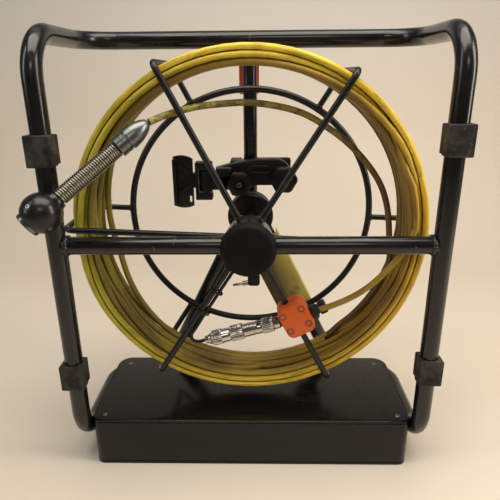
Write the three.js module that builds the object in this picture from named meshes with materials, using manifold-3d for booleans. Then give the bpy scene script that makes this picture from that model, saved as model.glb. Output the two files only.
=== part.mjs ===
// A pipe inspection camera: a push rod on a wire cage reel, in a standing tube frame with a base box,
// with the camera head on a spring neck at the rod's end.
// Millimetres, +Z up, front towards -Y. The origin is the middle of the base's underside.
import * as THREE from "three";
import { mergeVertices } from "three/addons/utils/BufferGeometryUtils.js";
import Module from "manifold-3d";

const wasm = await Module();
wasm.setup();

// ---- Driving dimensions ----
const GAP = 0.3; // between two touching pieces
const RUN_GAP = 1; // between turning and fixed faces

const FRAME_HALF_WIDTH = 200; // to the centreline of the side tubes
const FRAME_TUBE_R = 10;
const FRAME_BEND_R = 43;
const FOOT_BEND_R = 30; // tighter bends behind the base box
const FRONT_Y = -68;
const REAR_Y = 82;
const TOP_Z = 488;
const BOTTOM_Z = 35;
const CROSSBAR_R = 9.5;
const POST_R = 8.5;

const BASE_HALF_WIDTH = 189;
const BASE_FRONT_Y = -70;
const BASE_BACK_Y = 70;
const BASE_HEIGHT = 63;
const BASE_WALL = 3;
const BASE_FRONT_CORNER_R = 10;
const BASE_BACK_CORNER_R = 18;
const BASE_EDGE = 3;
const PLATE_THICKNESS = 4;

const BUMPER_IN = 12; // from the tube's centreline, inwards and outwards
const BUMPER_OUT = 13.5;
const BUMPER_DEPTH = 25;
const BUMPER_HEIGHT = 31;
const BUMPER_CHAMFER = 1.5;
const UPPER_BUMPER_Z = { left: 380.5, right: 388.5 };
const LOWER_BUMPER_Z = { left: 127, right: 135 };

const AXLE_Z = 282;
const BARREL_R = 26;
const BARREL_FRONT_Y = -79;
const BARREL_BACK_Y = -50;
const CAP_R = 29;
const CAP_DEPTH = 10.5;
const HOUSING_R = 27.5;
const HOUSING_NECK_R = 20;
const HOUSING_FRONT_Y = 53.5;
const HOUSING_STEP_Y = 70;
const HOUSING_BACK_Y = 92;
const BEARING_R = 12.7;
const BEARING_WIDTH = 20;
const JOURNAL_R = 6;
const SHAFT_R = 8.5;

const WIRE_R = 3.5;
const CAGE_R = 201.5;
const CAGE_WIRES = 6;
const CAGE_TURN_DEG = -2.5; // from +X to the first wire
const SPOKE_Y = -41;
const RING_Y = 63;
const RING_R = 151;
const RING_WIRE_R = 4;
const FLANGE_R = 24;
const ROTOR_R = 28.3;

const ROD_R = 3.5;
const COIL_INNER_R = 175.5;
const COIL_OUTER_R = 197;
const COIL_FRONT_Y = -34.5;
const COIL_BACK_Y = 28;
const LEAD_START_DEG = [-50, -44, -38, -32, -26, -20];

const LEG_TOP_X = 5;
const LEG_BOTTOM_X = 125.6;

const HEAD_TIP = [-99.1, -53, 404.7]; // the rod enters here
const HEAD_AXIS = [-0.727, -0.354, -0.589]; // from the rod to the lens
const BALL_R = 20;
const BALL_S = 133.3; // along the head's axis from its tip
const CAMERA_R = 13;
const NECK_R = 8.5;

const CLAMP_FRONT_Y = 57.5;
const CLAMP_BACK_Y = 73;
const CLAMP_KNOB = [41, 327]; // X and Z of its axis
const TILT_PIVOT = [-13, 325];
const SWIVEL_X = -54.5;
const SWIVEL_Y = 47;
const SCREW_R = 3;
const SCREW_BORE_R = 3.4;
const LOBE_DEPTH = 1.6;

// ---- Finishes ----
const FINISHES = {
  gloss_black: [0x17181a, 0.25, 0.1],
  black_plastic: [0x1b1b1c, 0.6, 0],
  black_rubber: [0x2a2b2c, 0.85, 0],
  black_steel: [0x1c1c1e, 0.35, 0.6],
  steel: [0xb9b8b2, 0.3, 1],
  nickel: [0xc9c6bd, 0.25, 1],
  orange: [0xe0582a, 0.5, 0],
  yellow: [0xd8ac30, 0.5, 0],
  guard_yellow: [0xb09a48, 0.6, 0],
  glass: [0x10151c, 0.05, 0.2],
  battery: [0x2d5f8a, 0.5, 0],
};

function finish(name) {
  const [color, roughness, metalness] = FINISHES[name];
  return new THREE.MeshStandardMaterial({ color, roughness, metalness });
}

function piece(name, geometry, look) {
  const mesh = new THREE.Mesh(geometry, finish(look));
  mesh.name = name;
  return mesh;
}

function vector([x, y, z]) {
  return new THREE.Vector3(x, y, z);
}

// ---- Solids ----
function solid(geometry) {
  const bare = new THREE.BufferGeometry();
  bare.setAttribute("position", geometry.getAttribute("position"));
  bare.setIndex(geometry.getIndex());
  const merged = mergeVertices(bare, 1e-3);
  const mesh = new wasm.Mesh({
    numProp: 3,
    vertProperties: merged.getAttribute("position").array,
    triVerts: new Uint32Array(merged.getIndex().array),
  });
  return new wasm.Manifold(mesh);
}

function geometryOf(manifold) {
  const mesh = manifold.getMesh();
  const geometry = new THREE.BufferGeometry();
  geometry.setAttribute("position", new THREE.BufferAttribute(mesh.vertProperties, 3));
  geometry.setIndex(new THREE.BufferAttribute(mesh.triVerts, 1));
  geometry.computeVertexNormals();
  return geometry;
}

function cut(body, ...tools) {
  return geometryOf(tools.reduce((left, tool) => left.subtract(solid(tool)), solid(body)));
}

function join(first, ...others) {
  return geometryOf(others.reduce((whole, other) => whole.add(solid(other)), solid(first)));
}

function box(low, high) {
  const [width, depth, height] = high.map((value, i) => value - low[i]);
  const [x, y, z] = high.map((value, i) => (value + low[i]) / 2);
  return new THREE.BoxGeometry(width, depth, height).translate(x, y, z);
}

// A round bar between two points.
function bar(from, to, radius, sides = 16) {
  const along = vector(to).sub(vector(from));
  const turn = new THREE.Quaternion().setFromUnitVectors(
    new THREE.Vector3(0, 1, 0),
    along.clone().normalize(),
  );
  const middle = vector(from).addScaledVector(along, 0.5);
  return new THREE.CylinderGeometry(radius, radius, along.length(), sides)
    .applyQuaternion(turn)
    .translate(middle.x, middle.y, middle.z);
}

// A turned piece about Y; the profile's [radius, y] points run anticlockwise.
function turned(profile, sides = 24) {
  return new THREE.LatheGeometry(
    profile.map(([radius, y]) => new THREE.Vector2(radius, y)),
    sides,
  );
}

function drum(radius, front, back, sides = 24) {
  return turned([[0, front], [radius, front], [radius, back], [0, back]], sides);
}

function hollowDrum(inner, outer, front, back, sides = 24) {
  const profile = [[inner, front], [outer, front], [outer, back], [inner, back], [inner, front]];
  return turned(profile, sides);
}

// A path through given points, with each section square to the bisector of its two straights.
class Route extends THREE.Curve {
  constructor(points) {
    super();
    this.points = points;
    this.last = points.length - 1;
  }

  getPoint(t) {
    return this.points[Math.round(t * this.last)].clone();
  }

  getTangent(t) {
    const i = Math.round(t * this.last);
    const here = this.points[i];
    const tangent = new THREE.Vector3();
    if (i > 0) tangent.add(here.clone().sub(this.points[i - 1]).normalize());
    if (i < this.last) tangent.add(this.points[i + 1].clone().sub(here).normalize());
    return tangent.normalize();
  }

  getUtoTmapping(u) {
    return u;
  }
}

function tube(points, radius, sides = 10) {
  const section = new THREE.Shape();
  for (let i = 0; i < sides; i++) {
    const angle = (2 * Math.PI * i) / sides;
    const place = [radius * Math.cos(angle), radius * Math.sin(angle)];
    if (i === 0) section.moveTo(...place);
    else section.lineTo(...place);
  }
  return new THREE.ExtrudeGeometry(section, {
    steps: points.length - 1,
    bevelEnabled: false,
    extrudePath: new Route(points),
  });
}

// Corner points with each inner corner turned into an arc of its own radius.
function bent(corners, radii, steps = 5) {
  const places = corners.map(vector);
  const points = [places[0]];
  radii.forEach((radius, i) => {
    const corner = places[i + 1];
    const back = places[i].clone().sub(corner).normalize();
    const ahead = places[i + 2].clone().sub(corner).normalize();
    const half = back.angleTo(ahead) / 2;
    const inwards = back.clone().add(ahead).normalize();
    const centre = corner.clone().addScaledVector(inwards, radius / Math.sin(half));
    const arm = corner.clone().addScaledVector(back, radius / Math.tan(half)).sub(centre);
    const end = corner.clone().addScaledVector(ahead, radius / Math.tan(half)).sub(centre);
    const axis = arm.clone().cross(end).normalize();
    for (let k = 0; k <= steps; k++) {
      const turn = ((Math.PI - 2 * half) * k) / steps;
      points.push(arm.clone().applyAxisAngle(axis, turn).add(centre));
    }
  });
  points.push(places[places.length - 1]);
  return points;
}

// A smooth route through hand-set points, in even steps.
function smooth(points, steps) {
  const curve = new THREE.CatmullRomCurve3(points.map(vector), false, "centripetal");
  return curve.getSpacedPoints(steps);
}

function roundedRectangle(left, right, low, high, lowR, highR = lowR) {
  const shape = new THREE.Shape();
  const quarter = Math.PI / 2;
  shape.absarc(right - lowR, low + lowR, lowR, -quarter, 0, false);
  shape.absarc(right - highR, high - highR, highR, 0, quarter, false);
  shape.absarc(left + highR, high - highR, highR, quarter, 2 * quarter, false);
  shape.absarc(left + lowR, low + lowR, lowR, 2 * quarter, 3 * quarter, false);
  return shape;
}

// An outline in X and Z, with its thickness from front to back in Y.
function facing(shape, front, back, edge = 0, curveSegments = 4) {
  return new THREE.ExtrudeGeometry(shape, {
    depth: back - front - 2 * edge,
    bevelEnabled: edge > 0,
    bevelThickness: edge,
    bevelSize: edge,
    bevelOffset: -edge,
    bevelSegments: 1,
    curveSegments,
  })
    .rotateX(Math.PI / 2)
    .translate(0, back - edge, 0);
}

// ---- Tube frame ----
function sideTubeRoute(side) {
  const x = side * FRAME_HALF_WIDTH;
  const top = side * (FRAME_HALF_WIDTH - FRAME_BEND_R);
  const foot = side * (FRAME_HALF_WIDTH - FOOT_BEND_R);
  const corners = [
    [top - side, REAR_Y, TOP_Z],
    [x, REAR_Y, TOP_Z],
    [x, FRONT_Y, TOP_Z],
    [x, FRONT_Y, BOTTOM_Z],
    [x, REAR_Y, BOTTOM_Z],
    [foot - side, REAR_Y, BOTTOM_Z],
  ];
  return bent(corners, [FRAME_BEND_R, FRAME_BEND_R, FRAME_BEND_R, FOOT_BEND_R]);
}

function sideTube(name, side) {
  return piece(name, tube(sideTubeRoute(side), FRAME_TUBE_R, 12), "gloss_black");
}

function rearBar(name, z, bendR) {
  const reach = FRAME_HALF_WIDTH - bendR - 1 - GAP;
  return piece(name, bar([-reach, REAR_Y, z], [reach, REAR_Y, z], FRAME_TUBE_R), "gloss_black");
}

function crossbar(name, side) {
  const x = side * FRAME_HALF_WIDTH;
  const whole = bar([x, FRONT_Y, AXLE_Z], [side * 5, FRONT_Y, AXLE_Z], CROSSBAR_R);
  const upright = bar([x, FRONT_Y, AXLE_Z - 30], [x, FRONT_Y, AXLE_Z + 30], FRAME_TUBE_R + GAP);
  const barrel = drum(BARREL_R + GAP, BARREL_FRONT_Y - 5, BARREL_BACK_Y + 5, 32);
  return piece(name, cut(whole, upright, barrel.translate(0, 0, AXLE_Z)), "gloss_black");
}

function housingSpace() {
  const space = drum(HOUSING_NECK_R + GAP, HOUSING_STEP_Y - 5, HOUSING_BACK_Y + 5, 28);
  return space.translate(0, 0, AXLE_Z);
}

function rearPost() {
  const whole = bar([0, REAR_Y, AXLE_Z], [0, REAR_Y, TOP_Z], POST_R);
  const handle = bar([-30, REAR_Y, TOP_Z], [30, REAR_Y, TOP_Z], FRAME_TUBE_R + GAP);
  return piece("rear_post", cut(whole, handle, housingSpace()), "gloss_black");
}

function rearLeg(name, side) {
  const top = [side * LEG_TOP_X, REAR_Y, AXLE_Z];
  const foot = [side * LEG_BOTTOM_X, REAR_Y, BOTTOM_Z];
  const whole = bar(top, foot, FRAME_TUBE_R);
  const footX = side * LEG_BOTTOM_X;
  const floorBar = bar(
    [footX - 40, REAR_Y, BOTTOM_Z],
    [footX + 40, REAR_Y, BOTTOM_Z],
    FRAME_TUBE_R + GAP,
  );
  return piece(name, cut(whole, floorBar, housingSpace()), "gloss_black");
}

function markerPlate() {
  const back = REAR_Y + POST_R + GAP;
  const outline = roundedRectangle(-13.5, 11, 426, 475, 2);
  return piece("marker_plate", facing(outline, back, back + 3), "orange");
}

function bumper(name, side, z) {
  const centre = side * FRAME_HALF_WIDTH;
  const inner = centre - side * BUMPER_IN;
  const outer = centre + side * BUMPER_OUT;
  const half = BUMPER_HEIGHT / 2;
  const outline = roundedRectangle(
    Math.min(inner, outer),
    Math.max(inner, outer),
    z - half,
    z + half,
    BUMPER_CHAMFER,
  );
  const front = FRONT_Y - BUMPER_DEPTH / 2;
  const block = facing(outline, front, front + BUMPER_DEPTH, BUMPER_CHAMFER, 1);
  const upright = bar(
    [centre, FRONT_Y, z - BUMPER_HEIGHT],
    [centre, FRONT_Y, z + BUMPER_HEIGHT],
    FRAME_TUBE_R + GAP,
  );
  return piece(name, cut(block, upright), "black_rubber");
}

function tubeFrame() {
  const group = new THREE.Group();
  for (const [word, side] of [["left", -1], ["right", 1]]) {
    group.add(sideTube(`${word}_frame_tube`, side));
    group.add(crossbar(`${word}_crossbar`, side));
    group.add(rearLeg(`${word}_rear_leg`, side));
    group.add(bumper(`${word}_upper_bumper`, side, UPPER_BUMPER_Z[word]));
    group.add(bumper(`${word}_lower_bumper`, side, LOWER_BUMPER_Z[word]));
  }
  group.add(rearBar("handle_bar", TOP_Z, FRAME_BEND_R));
  group.add(rearBar("bottom_bar", BOTTOM_Z, FOOT_BEND_R));
  group.add(rearPost());
  group.add(markerPlate());
  return group;
}

// ---- Base box ----
function baseOutline(inset) {
  return roundedRectangle(
    -BASE_HALF_WIDTH + inset,
    BASE_HALF_WIDTH - inset,
    BASE_FRONT_Y + inset,
    BASE_BACK_Y - inset,
    BASE_FRONT_CORNER_R - inset,
    BASE_BACK_CORNER_R - inset,
  );
}

function baseCover() {
  const block = new THREE.ExtrudeGeometry(baseOutline(0), {
    depth: BASE_HEIGHT - BASE_EDGE,
    bevelThickness: BASE_EDGE,
    bevelSize: BASE_EDGE,
    bevelOffset: -BASE_EDGE,
    bevelSegments: 2,
    curveSegments: 5,
  });
  const hollow = new THREE.ExtrudeGeometry(baseOutline(BASE_WALL), {
    depth: BASE_HEIGHT - BASE_WALL + 10,
    bevelEnabled: false,
    curveSegments: 5,
  }).translate(0, 0, -10);
  const below = box([-300, -300, -50], [300, 300, PLATE_THICKNESS + GAP]);
  return piece("base_cover", cut(block, below, hollow), "gloss_black");
}

function basePlate() {
  const plate = new THREE.ExtrudeGeometry(baseOutline(0), {
    depth: PLATE_THICKNESS,
    bevelEnabled: false,
    curveSegments: 5,
  });
  return piece("base_plate", plate, "gloss_black");
}

function batteryPack() {
  const low = PLATE_THICKNESS + GAP;
  return piece("battery_pack", box([-75, -40, low], [75, 40, low + 45]), "battery");
}

function baseBox() {
  const group = new THREE.Group();
  group.add(baseCover(), basePlate(), batteryPack());
  return group;
}

// ---- Fixed hubs and bearings, on the axle's line ----
function hubs() {
  const group = new THREE.Group();
  group.position.z = AXLE_Z;
  const bore = BEARING_R + GAP;
  const capBack = BARREL_FRONT_Y - GAP;
  const capFront = capBack - CAP_DEPTH;
  const capProfile = [
    [0, capFront],
    [CAP_R * 0.6, capFront + 0.8],
    [CAP_R - 4, capFront + 2.5],
    [CAP_R - 1, capFront + 5],
    [CAP_R, capFront + 7.5],
    [CAP_R, capBack],
    [0, capBack],
  ];
  const bearingFront = BARREL_BACK_Y - BEARING_WIDTH - 2;
  const rearBearingFront = HOUSING_FRONT_Y + RUN_GAP;
  const shell = [
    [0, HOUSING_BACK_Y],
    [0, rearBearingFront + BEARING_WIDTH + 2],
    [bore, rearBearingFront + BEARING_WIDTH + 2],
    [bore, HOUSING_FRONT_Y],
    [HOUSING_R, HOUSING_FRONT_Y],
    [HOUSING_R, HOUSING_STEP_Y],
    [HOUSING_NECK_R, HOUSING_STEP_Y],
    [HOUSING_NECK_R, HOUSING_BACK_Y],
    [0, HOUSING_BACK_Y],
  ];
  const barrel = hollowDrum(bore, BARREL_R, BARREL_FRONT_Y, BARREL_BACK_Y, 32);
  group.add(piece("front_hub_barrel", barrel, "gloss_black"));
  group.add(piece("front_hub_cap", turned(capProfile, 28), "black_plastic"));
  group.add(piece("front_bearing", bearing(bearingFront), "steel"));
  group.add(piece("rear_hub_housing", turned(shell, 28), "steel"));
  group.add(piece("rear_bearing", bearing(rearBearingFront), "steel"));
  return group;
}

function bearing(front) {
  return hollowDrum(JOURNAL_R + GAP, BEARING_R, front, front + BEARING_WIDTH);
}

// ---- Reel ----
function reelShaft() {
  const bodyFront = BARREL_BACK_Y + 0.5;
  const bodyBack = HOUSING_FRONT_Y - 0.5;
  const profile = [
    [0, BARREL_FRONT_Y + 3],
    [JOURNAL_R, BARREL_FRONT_Y + 3],
    [JOURNAL_R, bodyFront],
    [SHAFT_R, bodyFront],
    [SHAFT_R, bodyBack],
    [JOURNAL_R, bodyBack],
    [JOURNAL_R, 75],
    [0, 75],
  ];
  return piece("reel_shaft", turned(profile, 24), "black_steel");
}

function cageWireRoute() {
  const corners = [
    [FLANGE_R + GAP, SPOKE_Y, 0],
    [CAGE_R, SPOKE_Y, 0],
    [CAGE_R, RING_Y, 0],
    [RING_R + RING_WIRE_R + GAP, RING_Y, 0],
  ];
  return bent(corners, [9, 6], 4);
}

function spokeTurn(index) {
  return -THREE.MathUtils.degToRad(index * (360 / CAGE_WIRES) + CAGE_TURN_DEG);
}

function cageWire(index) {
  const wire = piece(`cage_wire_${index + 1}`, tube(cageWireRoute(), WIRE_R, 8), "gloss_black");
  wire.rotation.y = spokeTurn(index);
  return wire;
}

function rearRing() {
  const ring = new THREE.TorusGeometry(RING_R, RING_WIRE_R, 6, 44)
    .rotateX(Math.PI / 2)
    .translate(0, RING_Y, 0);
  return piece("rear_ring", ring, "gloss_black");
}

function rodCoil() {
  const round = 5;
  const profile = [
    [COIL_INNER_R + round, COIL_FRONT_Y],
    [COIL_OUTER_R - round, COIL_FRONT_Y],
    [COIL_OUTER_R, COIL_FRONT_Y + round],
    [COIL_OUTER_R, COIL_BACK_Y - round],
    [COIL_OUTER_R - round, COIL_BACK_Y],
    [COIL_INNER_R + round, COIL_BACK_Y],
    [COIL_INNER_R, COIL_BACK_Y - round],
    [COIL_INNER_R, COIL_FRONT_Y + round],
    [COIL_INNER_R + round, COIL_FRONT_Y],
  ];
  return piece("rod_coil", turned(profile, 48), "yellow");
}

// The rod's inner end, across the coil's front face to the junction box.
function rodTail() {
  const points = [
    [188, -38.9, -26],
    [167.6, -38.9, -39],
    [146, -38.8, -50.7],
    [124.5, -38.8, -62.9],
    [97, -38.8, -77.3],
    [70.6, -38.8, -91.1],
  ];
  return piece("rod_tail", tube(smooth(points, 9), ROD_R, 8), "yellow");
}

// The junction box is clamped on the sixth spoke, in that spoke's own frame.
function junctionBox() {
  const group = new THREE.Group();
  group.rotation.y = spokeTurn(5);
  const outline = roundedRectangle(88.6, 128.6, -14.1, 19.9, 8);
  const spoke = bar([60, SPOKE_Y, 0], [160, SPOKE_Y, 0], WIRE_R + GAP);
  const lid = facing(outline, -53.5, SPOKE_Y - GAP, 2);
  const base = facing(outline, SPOKE_Y + GAP, -29, 2);
  group.add(piece("junction_lid", cut(lid, spoke), "orange"));
  group.add(piece("junction_base", cut(base, spoke), "orange"));
  return group;
}

// Two mated round connectors on one line, running down to the left from the junction box.
function connectors() {
  const group = new THREE.Group();
  const start = vector([34.2, -44, -101.1]);
  const end = vector([-52.5, -44, -124.9]);
  const along = end.clone().sub(start).normalize();
  group.position.copy(start);
  group.quaternion.setFromUnitVectors(new THREE.Vector3(0, 1, 0), along);
  const socket = [
    [0, 0], [7, 0], [7, 7], [9, 8], [9, 20], [7.8, 21], [7.8, 43], [0, 43],
  ];
  const plug = [
    [0, 43.3], [9.3, 43.3], [9.3, 58], [8, 59], [8, 68],
    [9, 69], [9, 80], [6, 82], [4.5, 89], [0, 89],
  ];
  group.add(piece("connector_socket", turned(socket, 24), "nickel"));
  group.add(piece("connector_plug", turned(plug, 24), "nickel"));
  return group;
}

// From the plug, round and up beside the fifth spoke to the flange.
function pigtailCable() {
  const points = [
    [-53.7, -44, -125.2],
    [-61, -44, -126.9],
    [-67.3, -43.5, -124.5],
    [-68.2, -42.5, -118.5],
    [-63.8, -41.5, -111.8],
    [-54.7, -41, -96.8],
    [-43, -41, -78.5],
    [-31.2, -41, -60],
    [-19.4, -41, -41.5],
    [-9.3, -41, -25.6],
  ];
  return piece("pigtail_cable", tube(smooth(points, 26), 2, 8), "black_rubber");
}

function reel() {
  const group = new THREE.Group();
  group.position.z = AXLE_Z;
  group.add(reelShaft());
  const flange = hollowDrum(SHAFT_R + GAP, FLANGE_R, -48, -35);
  const rotor = hollowDrum(SHAFT_R + GAP, ROTOR_R, 42.5, HOUSING_FRONT_Y - RUN_GAP);
  group.add(piece("spoke_flange", flange, "gloss_black"));
  group.add(piece("rear_rotor", rotor, "black_plastic"));
  for (let index = 0; index < CAGE_WIRES; index++) group.add(cageWire(index));
  group.add(rearRing(), rodCoil(), rodTail());
  group.add(junctionBox(), connectors(), pigtailCable());
  return group;
}

// ---- Rod lead and camera head ----
// The rod's outer end: along the coil's inner face, up behind the spokes and forward to the head.
function rodLead() {
  const points = [
    ...leadOnCoil(),
    [165.4, 2, 238],
    [163.2, 0.5, 265],
    [156, -2, 308],
    [143.5, -4, 337],
    [115.5, -6, 370.5],
    [87, -8, 393],
    [54, -10, 411],
    [4.8, -14, 421],
    [-28, -17.5, 420.3],
    [-50, -23, 418.3],
    [-68, -30.2, 415],
    [-83, -40.2, 411],
    [-97.5, -51.9, 405.4],
  ];
  return piece("rod_lead", tube(smooth(points, 46), ROD_R, 8), "yellow");
}

function leadOnCoil() {
  return LEAD_START_DEG.map((degrees, i) => {
    const angle = THREE.MathUtils.degToRad(degrees);
    const reach = COIL_INNER_R - ROD_R - RUN_GAP / 2;
    return [reach * Math.cos(angle), 5 - 0.5 * i, AXLE_Z + reach * Math.sin(angle)];
  });
}

// Turned pieces on the head's own axis, as distances from its tip.
function cameraHead() {
  const group = new THREE.Group();
  group.position.copy(vector(HEAD_TIP));
  const axis = vector(HEAD_AXIS).normalize();
  group.quaternion.setFromUnitVectors(new THREE.Vector3(0, 1, 0), axis);
  const gland = [
    [0, 0], [4, 0], [6.2, 3], [8.6, 8], [10.2, 14], [11, 20], [11.2, 25],
    [9.8, 25.6], [9.8, 26.4], [10.5, 27], [10.5, 38], [0, 38],
  ];
  const body = [
    [0, 112], [NECK_R + 0.5, 112], [CAMERA_R - GAP, 117.6], [CAMERA_R - GAP, 148.2], [0, 148.2],
  ];
  group.add(piece("rod_gland", turned(gland, 20), "steel"));
  group.add(piece("neck_spring", hollowDrum(6, NECK_R, 38 + GAP, 112 - GAP, 24), "steel"));
  group.add(piece("camera_body", turned(body, 24), "black_steel"));
  group.add(piece("ball_skid", turned(ballProfile(), 24), "black_steel"));
  group.add(piece("lens_ring", hollowDrum(10, CAMERA_R, 148.5, 152), "steel"));
  group.add(piece("lens_window", drum(9.7, 148.5, 151), "glass"));
  return group;
}

function ballProfile() {
  const bore = CAMERA_R;
  const opening = Math.asin(bore / BALL_R);
  const profile = [];
  const steps = 7;
  for (let i = 0; i <= steps; i++) {
    const angle = Math.PI - opening - ((Math.PI - 2 * opening) * i) / steps;
    profile.push([BALL_R * Math.sin(angle), BALL_S + BALL_R * Math.cos(angle)]);
  }
  profile.push([...profile[0]]);
  return profile;
}

// ---- Monitor holder on the rear post ----
function screwSpace([x, z], front, back) {
  return bar([x, front, z], [x, back, z], SCREW_BORE_R, 16);
}

function lobedKnob(name, [x, z], radius, front, back, screwEnd) {
  const lobes = 6;
  const steps = 36;
  const outline = new THREE.Shape();
  for (let i = 0; i < steps; i++) {
    const angle = (2 * Math.PI * i) / steps;
    const reach = radius - (LOBE_DEPTH / 2) * (1 - Math.cos(lobes * angle));
    const place = [x + reach * Math.cos(angle), z + reach * Math.sin(angle)];
    if (i === 0) outline.moveTo(...place);
    else outline.lineTo(...place);
  }
  const grip = facing(outline, front, back, 1.5);
  const screw = bar([x, back - 2, z], [x, screwEnd, z], SCREW_R, 16);
  return piece(name, join(grip, screw), "black_plastic");
}

// Its top edge climbs to the right and turns down over the knob.
function clampOutline() {
  const shape = new THREE.Shape();
  shape.moveTo(-41, 318);
  shape.lineTo(49, 318);
  shape.quadraticCurveTo(52, 318, 52, 321);
  shape.lineTo(52, 333);
  shape.quadraticCurveTo(46, 351, 30, 351);
  shape.lineTo(8, 351);
  shape.quadraticCurveTo(-16, 347.5, -43, 340);
  shape.lineTo(-43, 320);
  return shape;
}

function clampBody() {
  const block = facing(clampOutline(), CLAMP_FRONT_Y, CLAMP_BACK_Y, 1.5);
  const boss = bar([TILT_PIVOT[0], 52.5, TILT_PIVOT[1]], [TILT_PIVOT[0], 60, TILT_PIVOT[1]], 10);
  const hook = facing(roundedRectangle(-26, -10.5, 320, 347, 2), 70, 99);
  const whole = join(block, boss, hook);
  const tiltHole = screwSpace(TILT_PIVOT, 50, 69);
  const clampHole = screwSpace(CLAMP_KNOB, 50, 80);
  return piece("clamp_body", cut(whole, tiltHole, clampHole), "black_plastic");
}

function clampJaw() {
  const front = REAR_Y + POST_R + 0.5;
  const plate = facing(roundedRectangle(-10, 52, 320, 347, 3), front, front + 7, 1);
  return piece("clamp_jaw", cut(plate, screwSpace(CLAMP_KNOB, 80, 110)), "black_plastic");
}

function holderArm() {
  const [x, z] = TILT_PIVOT;
  const beam = facing(roundedRectangle(SWIVEL_X, x + 2, z - 9, z + 9, 4), 41, 52.2, 1.5);
  const web = facing(roundedRectangle(-41, -22, 316, 342.5, 3), 41, 52.2, 1.5);
  const eye = bar([x, 41, z], [x, 52.2, z], 11);
  const knuckle = bar([SWIVEL_X, SWIVEL_Y, 314], [SWIVEL_X, SWIVEL_Y, 340], 8.5);
  const pinHole = bar([SWIVEL_X, SWIVEL_Y, 300], [SWIVEL_X, SWIVEL_Y, 360], SCREW_BORE_R, 16);
  const whole = join(beam, web, eye, knuckle);
  return piece("holder_arm", cut(whole, pinHole, screwSpace(TILT_PIVOT, 30, 60)), "black_plastic");
}

function swivelFork() {
  const cheeks = box([-69, 38.5, 304], [-46, 55.5, 350]);
  const room = box([-64.5, 30, 312.6], [-40, 60, 340.6]);
  const pinHole = bar([SWIVEL_X, SWIVEL_Y, 300], [SWIVEL_X, SWIVEL_Y, 360], SCREW_BORE_R, 16);
  return piece("swivel_fork", cut(cheeks, room, pinHole), "black_plastic");
}

function swivelPin() {
  const pin = bar([SWIVEL_X, SWIVEL_Y, 304.5], [SWIVEL_X, SWIVEL_Y, 349.5], SCREW_R, 16);
  return piece("swivel_pin", pin, "steel");
}

// A plate with a raised outer lip and a keyhole slot near its foot.
function cradlePlate() {
  const outline = new THREE.Shape();
  outline.moveTo(-93, 296);
  outline.quadraticCurveTo(-80, 291, -69.3, 296.5);
  outline.lineTo(-69.3, 354);
  outline.quadraticCurveTo(-80, 361, -93, 356.5);
  const plate = facing(outline, 42, 46, 1);
  const lip = facing(roundedRectangle(-93, -89, 298, 355, 1.5), 34, 44);
  const slot = facing(roundedRectangle(-74.6, -71.6, 300.5, 309, 1.4), 30, 60);
  return piece("cradle_plate", cut(join(plate, lip), slot), "black_plastic");
}

function monitorHolder() {
  const group = new THREE.Group();
  group.add(clampBody(), clampJaw(), holderArm(), swivelFork(), swivelPin(), cradlePlate());
  group.add(lobedKnob("clamp_knob", CLAMP_KNOB, 17, 42, 56.5, 97));
  group.add(lobedKnob("tilt_knob", TILT_PIVOT, 15, 26, 40.5, 66));
  return group;
}

// ---- Guard and collar on the right leg, in the leg's own frame (local Z runs up the leg) ----
function legFittings() {
  const group = new THREE.Group();
  group.position.set(LEG_TOP_X, REAR_Y, AXLE_Z);
  const slope = (LEG_BOTTOM_X - LEG_TOP_X) / (AXLE_Z - BOTTOM_Z);
  group.rotation.y = -Math.atan(slope);
  group.add(legGuard(), legCollar(), collarKnob());
  return group;
}

// A creased sheet that covers the leg's front and flares back to the left.
function legGuard() {
  const outline = new THREE.Shape();
  const points = [
    [12, 4], [14, 4], [14, -13.8], [-13.6, -13.8], [-35, 1],
    [-34, 2.8], [-13, -11.8], [12, -11.8],
  ];
  points.forEach(([x, y], i) => {
    if (i === 0) outline.moveTo(x, y);
    else outline.lineTo(x, y);
  });
  const sheet = new THREE.ExtrudeGeometry(outline, { depth: 112, bevelEnabled: false });
  return piece("leg_guard", sheet.translate(0, 0, -150), "guard_yellow");
}

function legCollar() {
  const sleeve = bar([0, 0, -182], [0, 0, -160], 14);
  const lug = box([8, -7, -178], [16, 7, -163]);
  const bore = bar([0, 0, -190], [0, 0, -150], FRAME_TUBE_R + GAP);
  const screwHole = bar([5, 0, -170.5], [30, 0, -170.5], SCREW_BORE_R, 16);
  return piece("leg_collar", cut(join(sleeve, lug), bore, screwHole), "black_plastic");
}

function collarKnob() {
  const grip = bar([17, 0, -170.5], [28, 0, -170.5], 10, 20);
  const screw = bar([10.8, 0, -170.5], [20, 0, -170.5], SCREW_R, 16);
  return piece("collar_knob", join(grip, screw), "black_plastic");
}

// ---- Video lead with its right-angle jack, from the rear housing ----
function videoJack() {
  const group = new THREE.Group();
  const y = 62;
  const points = [
    [3, y, AXLE_Z - HOUSING_R - GAP],
    [3.2, y, 242],
    [2.6, y, 228],
    [2.8, y, 212],
    [4, y, 196.8],
  ];
  const shell = facing(roundedRectangle(-4.6, 11.6, 181, 196.5, 4), y - 5.5, y + 5.5, 1.5);
  const tip = bar([-5.5, y, 184.5], [-25, y, 180.5], 1.9, 12);
  const sleeve = bar([-3, y, 184], [-12, y, 182.2], 3.4, 16);
  const tipSpace = box([-30, y - 8, 170], [-4.6 - GAP, y + 8, 200]);
  const plugMetal = geometryOf(solid(join(tip, sleeve)).intersect(solid(tipSpace)));
  group.add(piece("jack_lead", tube(smooth(points, 10), 1.8, 8), "black_rubber"));
  group.add(piece("jack_body", shell, "black_plastic"));
  group.add(piece("jack_pin", plugMetal, "nickel"));
  return group;
}

const inspectionCamera = new THREE.Group();
inspectionCamera.name = "inspection_camera";
inspectionCamera.add(tubeFrame(), baseBox(), hubs(), reel());
inspectionCamera.add(rodLead(), cameraHead(), monitorHolder(), legFittings(), videoJack());

export default inspectionCamera;
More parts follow.
